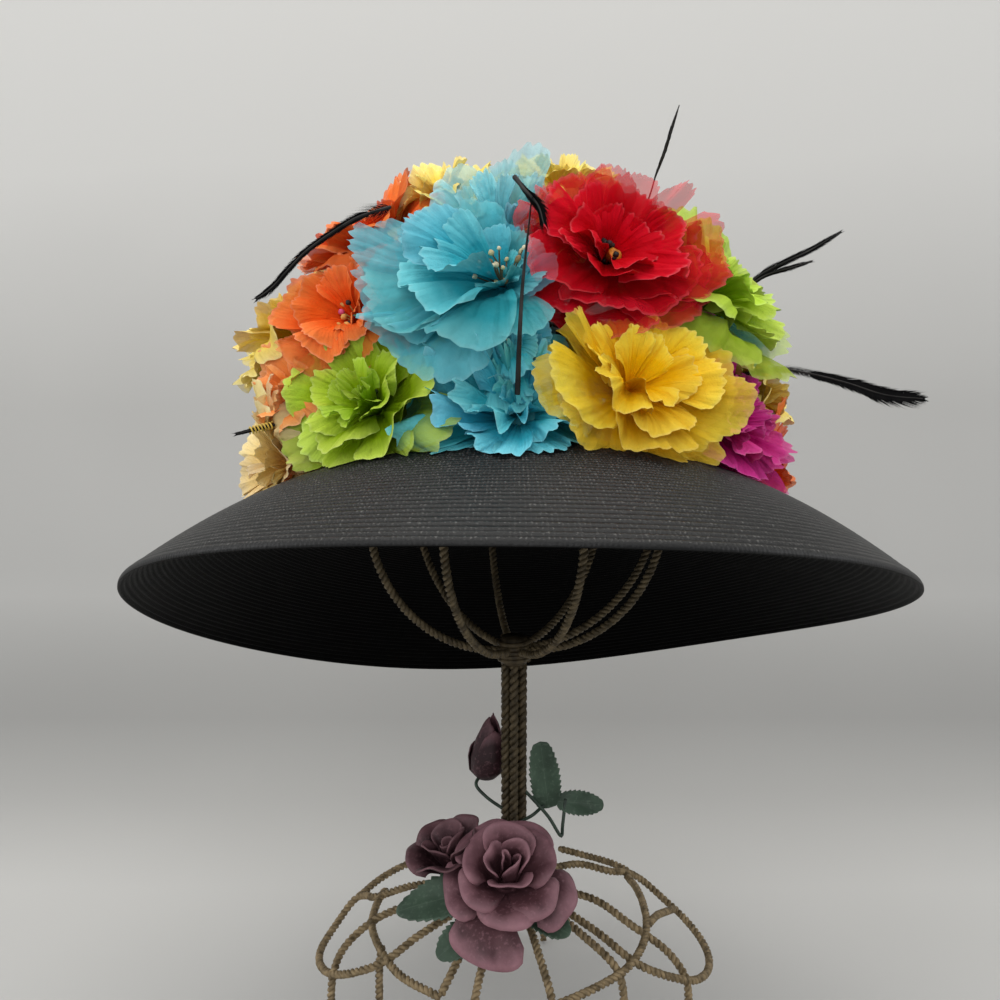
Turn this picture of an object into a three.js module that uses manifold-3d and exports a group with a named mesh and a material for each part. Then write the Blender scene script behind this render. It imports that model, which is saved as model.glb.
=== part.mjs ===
// A wide-brimmed straw hat covered in organza flowers, on its twisted wire stand.
// Millimetres, +Z up, with the hat's front at -Y. The dimensions are measured from the floor under the
// stem. The last step puts the origin on the floor under the middle of the whole.
// Azimuths are in degrees, 0 at the front, positive towards +X.
import * as THREE from "three";
import { mergeVertices } from "three/addons/utils/BufferGeometryUtils.js";
import Module from "manifold-3d";

const wasm = await Module();
wasm.setup();
const { Manifold, Mesh: SolidMesh } = wasm;

// Driving dimensions
const GAP = 0.35; // between pieces that touch
const HAT_CENTRE = [1.6, -26.4, 273]; // centre of the brim's rim
const HAT_LEAN = 23.67; // the front is raised by this angle
const HAT_ROLL = -0.6;

const RIM_RADIUS = 200;
const RIM_OVAL = 0.0164;
const BRIM_RISE = 62.5; // from the rim to the foot of the crown
const BRIM_BOW = 1.77; // power of the brim's bowed profile
const BRIM_WALL = 2;
const UNDER_BRIM = 60; // flowers are cut away this far below the brim
const BRIM_SEGMENTS = 40;
const BRIM_ROWS = 4;
// The rim isn't flat: its height follows these waves round the hat.
const RIM_WAVES = [
  { turns: 2, cos: 4.56, sin: 3.95 },
  { turns: 3, cos: -1.08, sin: -0.06 },
  { turns: 4, cos: -0.65, sin: 0 },
];

const CROWN_HALF = { x: 90, y: 100 };
const CROWN_HEIGHT = 108;
const CROWN_POWER = 2.4;
const CROWN_WALL = 1.5;
const CROWN_SEGMENTS = 20;
const CROWN_ROWS = 4;
const CROWN_TUCK = 2; // the crown's edge reaches this far into the brim's opening

const FLOWER_HALF = 146; // the flower mass: half width, and height above the crown's foot
const FLOWER_TOP = 174;
const FLOWER_POWER = 2.5;
const PETAL_WALL = 1.5;
const PETAL_POINTS = 8; // crests and valleys of the ruffled edge
const RUFFLE = 3.4; // a crest's height over the edge's middle line
const CORE_RADIUS = 9;
const BLOOM_DEPTH = 14; // from a flower's face to the middle of its bloom

const CAGE_CENTRE = 330;
const CAGE_RADIUS = 84;
const CAGE_TOP = 104; // height of the balloon above its centre
const WIRE = 2.5; // radius of the twisted wire
const WIRE_SIDES = 5;
const CAGE_AZIMUTHS = [-66, -25, 23, 68, 102, 139, 190, 226];
const CAP = { radius: 11, depth: 6, flat: 6 }; // flat is the radius of its top
const CAP_SIDES = 12;
const RIB_ENDS = { low: -84, high: 83 }; // where a rib meets the binding and the cap, round the balloon

const STEM_WIRE = 2.75;
const BINDING = { radius: 9.6, low: 238, high: 254, sides: 10 };

const HUB = { radius: 21, low: 97, shoulder: 109, high: 114 };
const BASE = { radius: 115, rim: 60, foot: 104, power: 2.7 };
// Wires of the base, each a path of [azimuth, reach, height over the dome]. A leg goes on to the floor.
const HUB_REACH = HUB.radius - 3;
const BASE_WIRES = [
  {
    path: [
      [-55, HUB_REACH], [-54, 65], [-57, 86], [-69, 104], [-80, 112], [-91, 115],
      [-102, 112], [-110, 105, 4], [-109, 97, 2], [-104, 87], [-101, 60], [-99, HUB_REACH],
    ],
  },
  {
    path: [
      [54, HUB_REACH], [50, 60], [53, 84], [66, 104], [75, 111], [86, 115],
      [96, 115], [105, 111], [114, 105], [121, 97, 2], [122, 86, 2], [120, 70],
      [128, 52], [133, HUB_REACH],
    ],
  },
  {
    path: [
      [-15, HUB_REACH], [-15, 56], [-14, 88], [-11, 104], [-1, 113], [9, 104],
      [12.5, 88], [12, 56], [12, HUB_REACH],
    ],
  },
  {
    path: [
      [160, HUB_REACH], [163, 60], [166, 90], [168, 108], [180, 115], [192, 108],
      [194, 90], [197, 60], [200, HUB_REACH],
    ],
  },
  { path: [[-27, HUB_REACH], [-27, 55], [-27, 84]] },
  { path: [[-27, 86], [-46, 85], [-64, 83], [-81, 83], [-96, 82], [-107, 82]] },
  { path: [[13, 86], [29, 83], [46, 82], [62, 80], [77, 78], [92, 77], [107, 79], [121, 84]] },
  { path: [[123, 88, 3], [133, 87, 2], [147, 85], [157, 80]] },
  { path: [[-109.5, 103, 4], [-121, 98, 4], [-134, 94, 3], [-149, 90], [-166, 83]] },
  { path: [[108, 106], [99, 95], [88, 84], [78, 79]] },
  { path: [[-83, HUB_REACH], [-83, 77], [-80, 98], [-73, 106], [-72, 108, -8]], leg: true },
  { path: [[80, HUB_REACH], [77, 48], [70, 70], [70, 92], [66.5, 103], [66, 105, -8]], leg: true },
  { path: [[41, HUB_REACH], [41, 56], [43, 78], [44, 82.5, -8]], leg: true },
  { path: [[-64, 82], [-64, 83.5, -10]], leg: true },
  { path: [[-1, 110], [-1, 113, -10]], leg: true },
  { path: [[168, 104], [168, 109, -10]], leg: true },
  { path: [[192, 104], [192, 109, -10]], leg: true },
];

// Flowers: azimuth and rise place the bloom's face on the mass. Rise is the angle above the crown's foot.
const FLOWERS = [
  { name: "flower_red", azimuth: 17, rise: 29, radius: 43, color: 0xd2141e },
  { name: "flower_turquoise_upper", azimuth: -16, rise: 25, radius: 43, color: 0x4fb9cf },
  { name: "flower_turquoise_top", azimuth: -4, rise: 46, radius: 36, color: 0x9fd9dd },
  { name: "flower_turquoise_middle", azimuth: 0, rise: 12, radius: 31, color: 0x3fa5b8 },
  { name: "flower_turquoise_lower", azimuth: -6, rise: 2, radius: 40, color: 0x35b4d0 },
  { name: "flower_gold_right", azimuth: 22, rise: 6, radius: 41, color: 0xf6b81c },
  { name: "flower_magenta_right", azimuth: 48, rise: 5, radius: 38, color: 0xb81f7c },
  { name: "flower_lime_right", azimuth: 52, rise: 28, radius: 41, color: 0xa6cf2e },
  { name: "flower_yellow_right", azimuth: 78, rise: 22, radius: 36, color: 0xf3cf3a },
  { name: "flower_orange_right", azimuth: 76, rise: 2, radius: 34, color: 0xf0642b },
  { name: "flower_lime_left", azimuth: -31, rise: 5, radius: 38, color: 0x8dbf2c },
  { name: "flower_orange_left", azimuth: -38, rise: 23, radius: 35, color: 0xf0582a },
  { name: "flower_orange_top", azimuth: -36, rise: 43, radius: 35, color: 0xf57a50 },
  { name: "flower_yellow_left", azimuth: -62, rise: 26, radius: 36, color: 0xf7cf4a },
  { name: "flower_salmon_left", azimuth: -54, rise: 6, radius: 33, color: 0xf47f45 },
  { name: "flower_cream_left", azimuth: -79, rise: 4, radius: 36, color: 0xf6d9a0 },
  { name: "flower_yellow_top_left", azimuth: -26, rise: 64, radius: 39, color: 0xf8d458 },
  { name: "flower_yellow_top_right", azimuth: 16, rise: 54, radius: 33, color: 0xf6cf45 },
  { name: "flower_pink_top", azimuth: -160, rise: 78, radius: 46, color: 0xe25a8d },
  { name: "flower_magenta_top", azimuth: 56, rise: 52, radius: 42, color: 0xc02a80 },
  { name: "flower_turquoise_left", azimuth: -82, rise: 44, radius: 50, color: 0x52bccd },
  { name: "flower_orange_back_left", azimuth: -113, rise: 5, radius: 39, color: 0xf0682c },
  { name: "flower_red_back_left", azimuth: -104, rise: 25, radius: 42, color: 0xcf1a22 },
  { name: "flower_lime_back_left", azimuth: -142, rise: 32, radius: 49, color: 0x9cc932 },
  { name: "flower_magenta_back_left", azimuth: -136, rise: 57, radius: 44, color: 0xbd2a7d },
  { name: "flower_gold_back_left", azimuth: -147, rise: 5, radius: 41, color: 0xf4b326 },
  { name: "flower_turquoise_back", azimuth: 177, rise: 6, radius: 42, color: 0x3fb0c8 },
  { name: "flower_yellow_back", azimuth: 176, rise: 34, radius: 49, color: 0xf6d04a },
  { name: "flower_red_back", azimuth: 140, rise: 6, radius: 42, color: 0xd21c28 },
  { name: "flower_orange_back", azimuth: 134, rise: 33, radius: 46, color: 0xf36f35 },
  { name: "flower_lime_back_right", azimuth: 108, rise: 6, radius: 45, color: 0x9fca35 },
  { name: "flower_turquoise_back_right", azimuth: 100, rise: 46, radius: 49, color: 0x48b6ca },
];

// Feathers: points in the hat's frame, with the half width of the blade at each.
const FEATHERS = [
  {
    name: "feather_left_curved",
    path: [
      [-54, -104, 174], [-66, -114, 175], [-80, -113, 170],
      [-98, -112, 156], [-111, -110, 143], [-122, -104, 136],
    ],
    half: [0.9, 1.4, 1.8, 1.9, 1.6, 0.8],
  },
  {
    name: "quill_centre",
    path: [
      [-1, -138, 62], [0, -148, 88], [1.5, -151, 115],
      [2.8, -148, 145], [3, -145, 161], [0.6, -143, 172],
    ],
    half: [0.8, 1.2, 1.3, 1.6, 2.6, 1],
  },
  {
    name: "quill_top_right",
    path: [[52, -74, 170], [69, -95, 203.5], [75, -100, 220], [81.6, -107.7, 236.8]],
    half: [1, 1, 1.2, 0.8],
  },
  {
    name: "feather_right_upper",
    path: [[108, -50, 138], [130, -65, 164], [147.6, -69, 173.5], [168, -74, 185]],
    half: [1, 2.2, 3, 0.9],
  },
  {
    name: "feather_right_large",
    path: [
      [112, -58, 106], [126, -64, 112], [142, -69, 111],
      [160, -72, 105.4], [181, -73, 94.4], [199, -77.4, 92.8],
    ],
    half: [1.2, 1.8, 2.6, 3.2, 5, 0.9],
  },
  {
    name: "quill_left_bound",
    path: [[-100, -92, 80], [-112, -100, 75], [-129, -100, 70]],
    half: [1.1, 1.4, 0.9],
  },
];
const FEATHER_HALF_THICKNESS = 0.7;

// Metal roses and leaves on the stand. A rose has the centre of its back, the direction that it faces
// and the point on the stand where its short stalk ends.
const ROSES = [
  {
    name: "rose_large",
    back: [-3.7, -36, 123],
    face: [0, -0.88, 0.47],
    stalk: [-1, -9, 119],
    radius: 37,
    depth: 20,
    color: 0x7a4a55,
  },
  {
    name: "rose_left",
    back: [-35, -16, 130],
    face: [-0.4, -0.3, 0.87],
    stalk: [-8, -3, 121],
    radius: 27,
    depth: 24,
    color: 0x5f3843,
  },
];
const STALK_RADIUS = 2;
const STALK_SIDES = 4;
const ROSE_POINTS = 8;
const ROSE_RUFFLE = 3.5;
const BUD = {
  name: "rose_bud",
  foot: [-16, 12, 165],
  tip: [-12.5, 12, 203],
  radius: 10.5,
  sprig: [[-5, -1, 150], [-16, 1.5, 157], [-22, 6, 162.5], [-20, 10, 165.5], [-16, 12, 167.5]],
  color: 0x56323d,
};
const LEAVES = [
  {
    name: "leaf_upright",
    root: [19, 0, 151],
    tip: [16.5, 0, 191],
    half: 8.5,
    face: [0.1, -1, 0.1],
    sprig: [[4, -5, 145], [11, -6, 149.5], [17.5, -0.5, 153]],
  },
  {
    name: "leaf_oval",
    root: [26, 0, 155],
    tip: [52, 0, 153],
    half: 7,
    face: [-0.1, -0.9, 0.5],
    sprig: [[5, -2, 164], [19.7, -7, 149], [27, -12, 139.5], [28, -7, 143], [30, 0, 156.5]],
  },
  { name: "leaf_left", root: [-12, -36, 123], tip: [-64, -45, 112], half: 11, face: [0, -0.6, 0.8] },
  { name: "leaf_lower", root: [-20, -48, 107], tip: [-41, -59, 94.5], half: 8, face: [-0.2, -0.8, 0.5] },
  { name: "leaf_right", root: [8, -42, 112], tip: [28, -55, 105], half: 9, face: [0.2, -0.6, 0.7] },
];
const LEAF_WALL = 1;
const SPRIG_RADIUS = 0.9;

const rad = THREE.MathUtils.degToRad;

// Solids from geometries and back

function solid(geometry) {
  const bare = new THREE.BufferGeometry();
  bare.setAttribute("position", geometry.getAttribute("position"));
  bare.setIndex(geometry.getIndex());
  const merged = mergeVertices(bare, 1e-4);
  const index = merged.getIndex().array;
  const triangles = [];
  for (let i = 0; i < index.length; i += 3) {
    const [a, b, c] = [index[i], index[i + 1], index[i + 2]];
    if (a !== b && b !== c && c !== a) triangles.push(a, b, c);
  }
  return new Manifold(
    new SolidMesh({
      numProp: 3,
      vertProperties: new Float32Array(merged.getAttribute("position").array),
      triVerts: new Uint32Array(triangles),
    }),
  );
}

function geometryOf(body) {
  const { vertProperties, triVerts } = body.getMesh();
  const geometry = new THREE.BufferGeometry();
  geometry.setAttribute("position", new THREE.BufferAttribute(vertProperties, 3));
  geometry.setIndex(new THREE.BufferAttribute(triVerts, 1));
  geometry.computeVertexNormals();
  return geometry;
}

function largestBody(body) {
  return body.decompose().reduce((best, piece) => (piece.volume() > best.volume() ? piece : best));
}

function join(bodies) {
  return bodies.reduce((whole, piece) => whole.add(piece));
}

function placed(geometry, matrix) {
  return geometry.clone().applyMatrix4(matrix);
}

// Shared shapes

// A profile of [radius, height] pairs turned round Z, then moved vertex by vertex.
function turned(profile, segments, move) {
  const lathe = new THREE.LatheGeometry(profile.map(([r, z]) => new THREE.Vector2(r, z)), segments);
  lathe.rotateX(Math.PI / 2);
  const position = lathe.getAttribute("position");
  const point = new THREE.Vector3();
  for (let i = 0; move && i < position.count; i += 1) {
    point.fromBufferAttribute(position, i);
    move(point);
    position.setXYZ(i, point.x, point.y, point.z);
  }
  return lathe;
}

function polygon(radius, sides) {
  const corners = [];
  for (let i = 0; i < sides; i += 1) {
    const angle = (2 * Math.PI * i) / sides;
    corners.push(new THREE.Vector2(radius * Math.cos(angle), radius * Math.sin(angle)));
  }
  return new THREE.Shape(corners);
}

function tube(points, radius, steps, sides = WIRE_SIDES) {
  const path = new THREE.CatmullRomCurve3(points.map((p) => new THREE.Vector3(...p)), false, "centripetal");
  return new THREE.ExtrudeGeometry(polygon(radius, sides), { steps, extrudePath: path, bevelEnabled: false });
}

// A frame at a point whose Z axis follows a direction.
function frameAt(point, direction) {
  const z = new THREE.Vector3(...direction).normalize();
  const turn = new THREE.Quaternion().setFromUnitVectors(new THREE.Vector3(0, 0, 1), z);
  return new THREE.Matrix4().compose(new THREE.Vector3(...point), turn, new THREE.Vector3(1, 1, 1));
}

function onCircle(radius, azimuth, height) {
  return [radius * Math.sin(rad(azimuth)), -radius * Math.cos(rad(azimuth)), height];
}

// The hat's straw brim and crown

function rimHeight(angle) {
  const heights = RIM_WAVES.map((wave) => {
    return wave.cos * Math.cos(wave.turns * angle) + wave.sin * Math.sin(wave.turns * angle);
  });
  return heights.reduce((sum, height) => sum + height);
}

function crownRadius(angle) {
  return 1 / Math.hypot(Math.cos(angle) / CROWN_HALF.x, Math.sin(angle) / CROWN_HALF.y);
}

function brimGeometry(lift, wall) {
  const profile = [];
  for (let i = 0; i <= BRIM_ROWS; i += 1) profile.push([1 + i / BRIM_ROWS, 0]);
  for (let i = BRIM_ROWS; i >= 0; i -= 1) profile.push([1 + i / BRIM_ROWS, wall]);
  profile.push(profile[0]);
  return turned(profile, BRIM_SEGMENTS, (point) => {
    const angle = Math.atan2(point.y, point.x);
    const out = Math.max(0, Math.hypot(point.x, point.y) - 1);
    const inner = crownRadius(angle) + GAP;
    const rim = RIM_RADIUS * (1 + RIM_OVAL * Math.cos(2 * angle));
    const radius = inner + (rim - inner) * out;
    const height = BRIM_RISE * (1 - out ** BRIM_BOW) + rimHeight(angle) * out ** 2;
    point.set(radius * Math.cos(angle), radius * Math.sin(angle), height - BRIM_WALL + point.z + lift);
  });
}

// A dome over the brim's opening: half sizes shrink by the inset, and its wall reaches down by the tuck.
function domeProfile(inset, foot) {
  const points = [[1 - inset / CROWN_HALF.x, -foot]];
  for (let i = 0; i <= CROWN_ROWS; i += 1) {
    const angle = (Math.PI / 2) * (i / CROWN_ROWS);
    const across = i === CROWN_ROWS ? 0 : Math.cos(angle) ** (2 / CROWN_POWER);
    const up = Math.sin(angle) ** (2 / CROWN_POWER);
    points.push([across * (1 - inset / CROWN_HALF.x), up * (CROWN_HEIGHT - inset)]);
  }
  return points;
}

function crownGeometry() {
  const outside = domeProfile(0, CROWN_TUCK);
  const inside = domeProfile(CROWN_WALL, CROWN_TUCK).reverse();
  return turned([...outside, ...inside, outside[0]], CROWN_SEGMENTS, (point) => {
    const angle = Math.atan2(point.y, point.x);
    const out = Math.hypot(point.x, point.y);
    const radius = crownRadius(angle) * out;
    point.set(radius * Math.cos(angle), radius * Math.sin(angle), BRIM_RISE + point.z);
  });
}

// Flowers

function massReach(rise) {
  const across = Math.abs(Math.cos(rad(rise)) / FLOWER_HALF) ** FLOWER_POWER;
  const up = Math.abs(Math.sin(rad(rise)) / FLOWER_TOP) ** FLOWER_POWER;
  return (across + up) ** (-1 / FLOWER_POWER);
}

function crownReach(direction) {
  const across = Math.hypot(direction[0] / CROWN_HALF.x, direction[1] / CROWN_HALF.y) ** CROWN_POWER;
  const up = Math.abs(direction[2] / CROWN_HEIGHT) ** CROWN_POWER;
  return (across + up) ** (-1 / CROWN_POWER);
}

// Moves a turned profile's edge up and down in ruffles; the share of the ruffle grows with the radius.
function ruffled(profile, radius, points, height) {
  return turned(profile, points, (point) => {
    const out = Math.hypot(point.x, point.y) / radius;
    const wave = Math.cos((Math.atan2(point.y, point.x) * points) / 2);
    point.x *= 1 + 0.07 * wave * out;
    point.y *= 1 + 0.07 * wave * out;
    point.z += height * wave * out * out;
  });
}

// How far the core's flat end has to stand off the crown for its whole edge to clear the straw.
function coreStandOff(direction, seat) {
  const end = new THREE.Vector3(...direction).multiplyScalar(seat);
  const frame = frameAt(end.toArray(), direction);
  let off = 0;
  for (let i = 0; i < PETAL_POINTS; i += 1) {
    const [x, y] = onCircle(CORE_RADIUS, (360 * i) / PETAL_POINTS, 0);
    const corner = new THREE.Vector3(x, y, 0).applyMatrix4(frame);
    off = Math.max(off, crownReach(corner.clone().normalize().toArray()) - corner.length());
  }
  return seat + off + GAP;
}

function flowerPlace(flower) {
  const [x, y] = onCircle(Math.cos(rad(flower.rise)), flower.azimuth, 0);
  const direction = [x, y, Math.sin(rad(flower.rise))];
  const seat = coreStandOff(direction, crownReach(direction));
  const face = massReach(flower.rise);
  const at = (reach) => [direction[0] * reach, direction[1] * reach, BRIM_RISE + direction[2] * reach];
  return {
    matrix: frameAt(at(seat), direction),
    depth: face - seat,
    bloom: new THREE.Vector3(...at(face - BLOOM_DEPTH)),
  };
}

// A core on the crown, an open cup of outer petals and a smaller cup of inner petals, in one profile.
function flowerBody({ radius }, { matrix, depth }) {
  const cup = Math.min(0.78 * radius, depth - 14);
  const low = depth - cup;
  const profile = [
    [0, 0],
    [CORE_RADIUS, 0],
    [CORE_RADIUS, low - PETAL_WALL],
    [0.74 * radius, low + 0.2 * cup],
    [radius, depth - PETAL_WALL],
    [radius - PETAL_WALL, depth],
    [0.5 * radius, low + 0.22 * cup],
    [0.64 * radius, depth + 2],
    [0, low + 0.4 * cup],
  ];
  return solid(placed(ruffled(profile, radius, PETAL_POINTS, RUFFLE), matrix));
}

// A large block on the far side of a plane, to cut with.
function farSide(point, direction) {
  const block = new THREE.BoxGeometry(400, 400, 200).translate(0, 0, 100);
  return solid(placed(block, frameAt(point, direction)));
}

// Cuts two flowers that meet along the plane between their blooms.
function part(bodies, places, i, j) {
  if (bodies[i].intersect(bodies[j]).isEmpty()) return;
  const apart = places[j].bloom.clone().sub(places[i].bloom);
  const share = FLOWERS[i].radius / (FLOWERS[i].radius + FLOWERS[j].radius);
  const half = GAP / 2 / apart.length();
  const near = places[i].bloom.clone().addScaledVector(apart, share - half);
  const far = places[i].bloom.clone().addScaledVector(apart, share + half);
  bodies[i] = bodies[i].subtract(farSide(near.toArray(), apart.toArray()));
  bodies[j] = bodies[j].subtract(farSide(far.toArray(), apart.clone().negate().toArray()));
}

// Feathers: a flat tapered blade swept through its points

function featherGeometry({ path, half }, grow = 0) {
  const points = path.map((p) => new THREE.Vector3(...p));
  const [first, second] = points;
  const [before, last] = points.slice(-2);
  first.addScaledVector(first.clone().sub(second).normalize(), grow);
  last.addScaledVector(last.clone().sub(before).normalize(), grow);
  const curve = new THREE.CatmullRomCurve3(points, false, "centripetal");
  const widest = Math.max(...half);
  const shape = new THREE.Shape([
    new THREE.Vector2(-widest - grow, 0),
    new THREE.Vector2(0, -FEATHER_HALF_THICKNESS - grow),
    new THREE.Vector2(widest + grow, 0),
    new THREE.Vector2(0, FEATHER_HALF_THICKNESS + grow),
  ]);
  const steps = (path.length - 1) * 2;
  const blade = new THREE.ExtrudeGeometry(shape, { steps, extrudePath: curve, bevelEnabled: false });
  const stations = curve.getSpacedPoints(steps);
  const position = blade.getAttribute("position");
  const point = new THREE.Vector3();
  for (let i = 0; i < position.count; i += 1) {
    point.fromBufferAttribute(position, i);
    const away = stations.map((station) => station.distanceTo(point));
    const near = away.indexOf(Math.min(...away));
    const along = (near / steps) * (half.length - 1);
    const low = Math.min(Math.floor(along), half.length - 2);
    const width = THREE.MathUtils.lerp(half[low], half[low + 1], along - low) + grow;
    const share = Math.max(width / (widest + grow), FEATHER_HALF_THICKNESS / widest + grow / 2);
    point.lerpVectors(stations[near], point, share);
    position.setXYZ(i, point.x, point.y, point.z);
  }
  return blade;
}

// The wire stand

function cageRib(azimuth) {
  const points = [];
  const first = rad(RIB_ENDS.low);
  const last = rad(RIB_ENDS.high);
  for (let i = 0; i <= 8; i += 1) {
    const angle = first + ((last - first) * i) / 8;
    const tall = angle < 0 ? CAGE_RADIUS : CAGE_TOP;
    points.push(onCircle(CAGE_RADIUS * Math.cos(angle), azimuth, CAGE_CENTRE + tall * Math.sin(angle)));
  }
  return tube(points, WIRE, 7);
}

function baseHeight(radius) {
  return BASE.rim + (BASE.foot - BASE.rim) * (1 - (radius / BASE.radius) ** BASE.power);
}

function baseWire({ path, leg }, grow) {
  const points = path.map(([azimuth, reach, over = 0]) => onCircle(reach, azimuth, baseHeight(reach) + over));
  const last = points[points.length - 1];
  const steps = Math.round(points.length * 1.2);
  if (!leg) return tube(points, WIRE + grow, steps);
  return tube([...points, [last[0], last[1], -4]], WIRE + grow, steps);
}

function baseBody(grow = 0) {
  const hub = turned(
    [
      [0, HUB.low - grow],
      [HUB.radius + grow, HUB.low - grow],
      [HUB.radius + grow, HUB.shoulder + grow],
      [HUB.radius / 2 + grow, HUB.high + grow],
      [0, HUB.high + grow],
    ],
    10,
  );
  const wires = BASE_WIRES.map((wire) => baseWire(wire, grow));
  const floor = farSide([0, 0, 0], [0, 0, -1]);
  return join([hub, ...wires].map(solid)).subtract(floor);
}

// Six wires laid round a seventh, as one column.
function stemGeometry(low, high, grow = 0) {
  const outline = [];
  for (let i = 0; i < 6; i += 1) {
    const middle = rad(60 * i + 30);
    for (const turn of [-70, -25, 25, 70]) {
      const angle = middle + rad(turn);
      const x = 2 * STEM_WIRE * Math.cos(middle) + (STEM_WIRE + grow) * Math.cos(angle);
      const y = 2 * STEM_WIRE * Math.sin(middle) + (STEM_WIRE + grow) * Math.sin(angle);
      outline.push(new THREE.Vector2(x, y));
    }
  }
  const shape = new THREE.Shape(outline);
  const column = new THREE.ExtrudeGeometry(shape, { depth: high - low, bevelEnabled: false });
  return column.translate(0, 0, low);
}

function bindingGeometry(grow = 0) {
  const { radius, low, high } = BINDING;
  const middle = (low + high) / 2;
  const profile = [
    [0, low - grow],
    [radius * 0.9 + grow, low - grow],
    [radius + grow, low + 3],
    [radius * 0.96 + grow, middle],
    [radius + grow, high - 3],
    [radius * 0.85 + grow, high + grow],
    [0, high + grow],
  ];
  return turned(profile, BINDING.sides);
}

function capGeometry(height) {
  const profile = [
    [0, -CAP.depth],
    [0.8 * CAP.radius, -CAP.depth],
    [CAP.radius, -CAP.depth / 2],
    [CAP.flat, 0],
    [0, 0],
  ];
  return turned(profile, CAP_SIDES).translate(0, 0, height);
}

// Metal roses and leaves

function roseBody({ back, face, stalk, radius, depth }, grow = 0) {
  const matrix = frameAt(back, face);
  const reach = radius + grow;
  const wall = PETAL_WALL + grow;
  const profile = [
    [0, 1 - grow],
    [0.5 * reach, 0.15 * depth - grow],
    [reach, 0.55 * depth - grow],
    [reach - 1, 0.55 * depth + wall],
    [0.55 * reach, 0.3 * depth + wall],
    [0.62 * reach, depth + grow],
    [0.62 * reach - wall, depth + grow],
    [0.3 * reach, 0.55 * depth + grow],
    [0.26 * reach, depth + grow],
    [0, 0.8 * depth + grow],
  ];
  const middle = back.map((value, i) => (value + stalk[i]) / 2);
  const front = back.map((value, i) => value + 3 * face[i]);
  const bloom = placed(ruffled(profile, radius, ROSE_POINTS, ROSE_RUFFLE), matrix);
  return join([bloom, tube([front, middle, stalk], STALK_RADIUS + grow, 1, STALK_SIDES)].map(solid));
}

function withSprig(body, sprig) {
  return sprig ? body.add(solid(tube(sprig, SPRIG_RADIUS, 5, 4))) : body;
}

function budBody({ foot, tip, radius, sprig }) {
  const axis = new THREE.Vector3(...tip).sub(new THREE.Vector3(...foot));
  const length = axis.length();
  const rows = [[0, 0], [0.62, 0.02], [1, 0.18], [0.86, 0.45], [0.5, 0.78], [0.1, 1], [0, 1]];
  const bud = turned(rows.map(([r, z]) => [r * radius, z * length]), 9);
  return withSprig(solid(placed(bud, frameAt(foot, axis.toArray()))), sprig);
}

function leafBody({ root, tip, half, face, sprig }) {
  const along = new THREE.Vector3(...tip).sub(new THREE.Vector3(...root));
  const length = along.length();
  const x = along.normalize();
  const z = new THREE.Vector3(...face);
  z.addScaledVector(x, -z.dot(x)).normalize();
  const y = z.clone().cross(x);
  const outline = [[0, 0.12], [0.15, 0.66], [0.42, 1], [0.72, 0.8], [1, 0.06]];
  const corners = [
    ...outline.map(([out, wide]) => new THREE.Vector2(out * length, -wide * half)),
    ...outline.map(([out, wide]) => new THREE.Vector2(out * length, wide * half)).reverse(),
  ];
  const leaf = new THREE.ExtrudeGeometry(new THREE.Shape(corners), { depth: LEAF_WALL, bevelEnabled: false });
  const matrix = new THREE.Matrix4().makeBasis(x, y, z).setPosition(...root);
  return withSprig(solid(placed(leaf, matrix)), sprig);
}

// Materials and nodes

function material(color, roughness, metalness = 0, extra = {}) {
  return new THREE.MeshStandardMaterial({ color, roughness, metalness, ...extra });
}

function addNode(group, name, geometry, look) {
  const mesh = new THREE.Mesh(geometry, look);
  mesh.name = name;
  group.add(mesh);
  return mesh;
}

const model = new THREE.Group();
const hat = new THREE.Group();
hat.position.set(...HAT_CENTRE);
hat.rotation.set(rad(-HAT_LEAN), rad(HAT_ROLL), 0, "YXZ");
model.add(hat);

// Hat
addNode(hat, "brim", geometryOf(solid(brimGeometry(0, BRIM_WALL))), material(0x2b2c2e, 0.55));
addNode(hat, "crown", geometryOf(solid(crownGeometry())), material(0x232426, 0.6));

const places = FLOWERS.map(flowerPlace);
const brimKeepOut = solid(brimGeometry(-UNDER_BRIM, BRIM_WALL + GAP + UNDER_BRIM));
const featherKeepOut = join(FEATHERS.map((feather) => solid(featherGeometry(feather, GAP))));
const flowers = FLOWERS.map((flower, i) => {
  return flowerBody(flower, places[i]).subtract(brimKeepOut).subtract(featherKeepOut);
});
for (let i = 0; i < flowers.length; i += 1) {
  for (let j = i + 1; j < flowers.length; j += 1) part(flowers, places, i, j);
}
FLOWERS.forEach((flower, i) => {
  const own = geometryOf(largestBody(flowers[i])).applyMatrix4(places[i].matrix.clone().invert());
  const mesh = addNode(hat, flower.name, own, material(flower.color, 0.85, 0, { side: THREE.DoubleSide }));
  mesh.applyMatrix4(places[i].matrix);
});
FEATHERS.forEach((feather) => {
  addNode(hat, feather.name, geometryOf(solid(featherGeometry(feather))), material(0x0c0c0d, 0.6));
});

// Stand
const gold = () => material(0x8d7a55, 0.55, 0.6);
const topCap = CAGE_CENTRE + CAGE_TOP + WIRE;
const cap = solid(capGeometry(topCap));
addNode(model, "cage_cap", geometryOf(cap), gold());
const binding = solid(bindingGeometry());
addNode(model, "stem_binding", geometryOf(binding), gold());
const capSpace = [[0, -20], [CAP.radius + GAP, -20], [CAP.radius + GAP, 9], [0, 9]];
const capKeepOut = solid(turned(capSpace, CAP_SIDES).translate(0, 0, topCap));
const bindingKeepOut = solid(bindingGeometry(GAP));
CAGE_AZIMUTHS.forEach((azimuth, i) => {
  const rib = solid(cageRib(azimuth)).subtract(capKeepOut).subtract(bindingKeepOut);
  addNode(model, `cage_rib_${i + 1}`, geometryOf(largestBody(rib)), gold());
});
const stemBody = (grow) => solid(stemGeometry(HUB.high + GAP - grow, BINDING.low - GAP + grow, grow));
addNode(model, "stem", geometryOf(stemBody(0)), gold());
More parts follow.
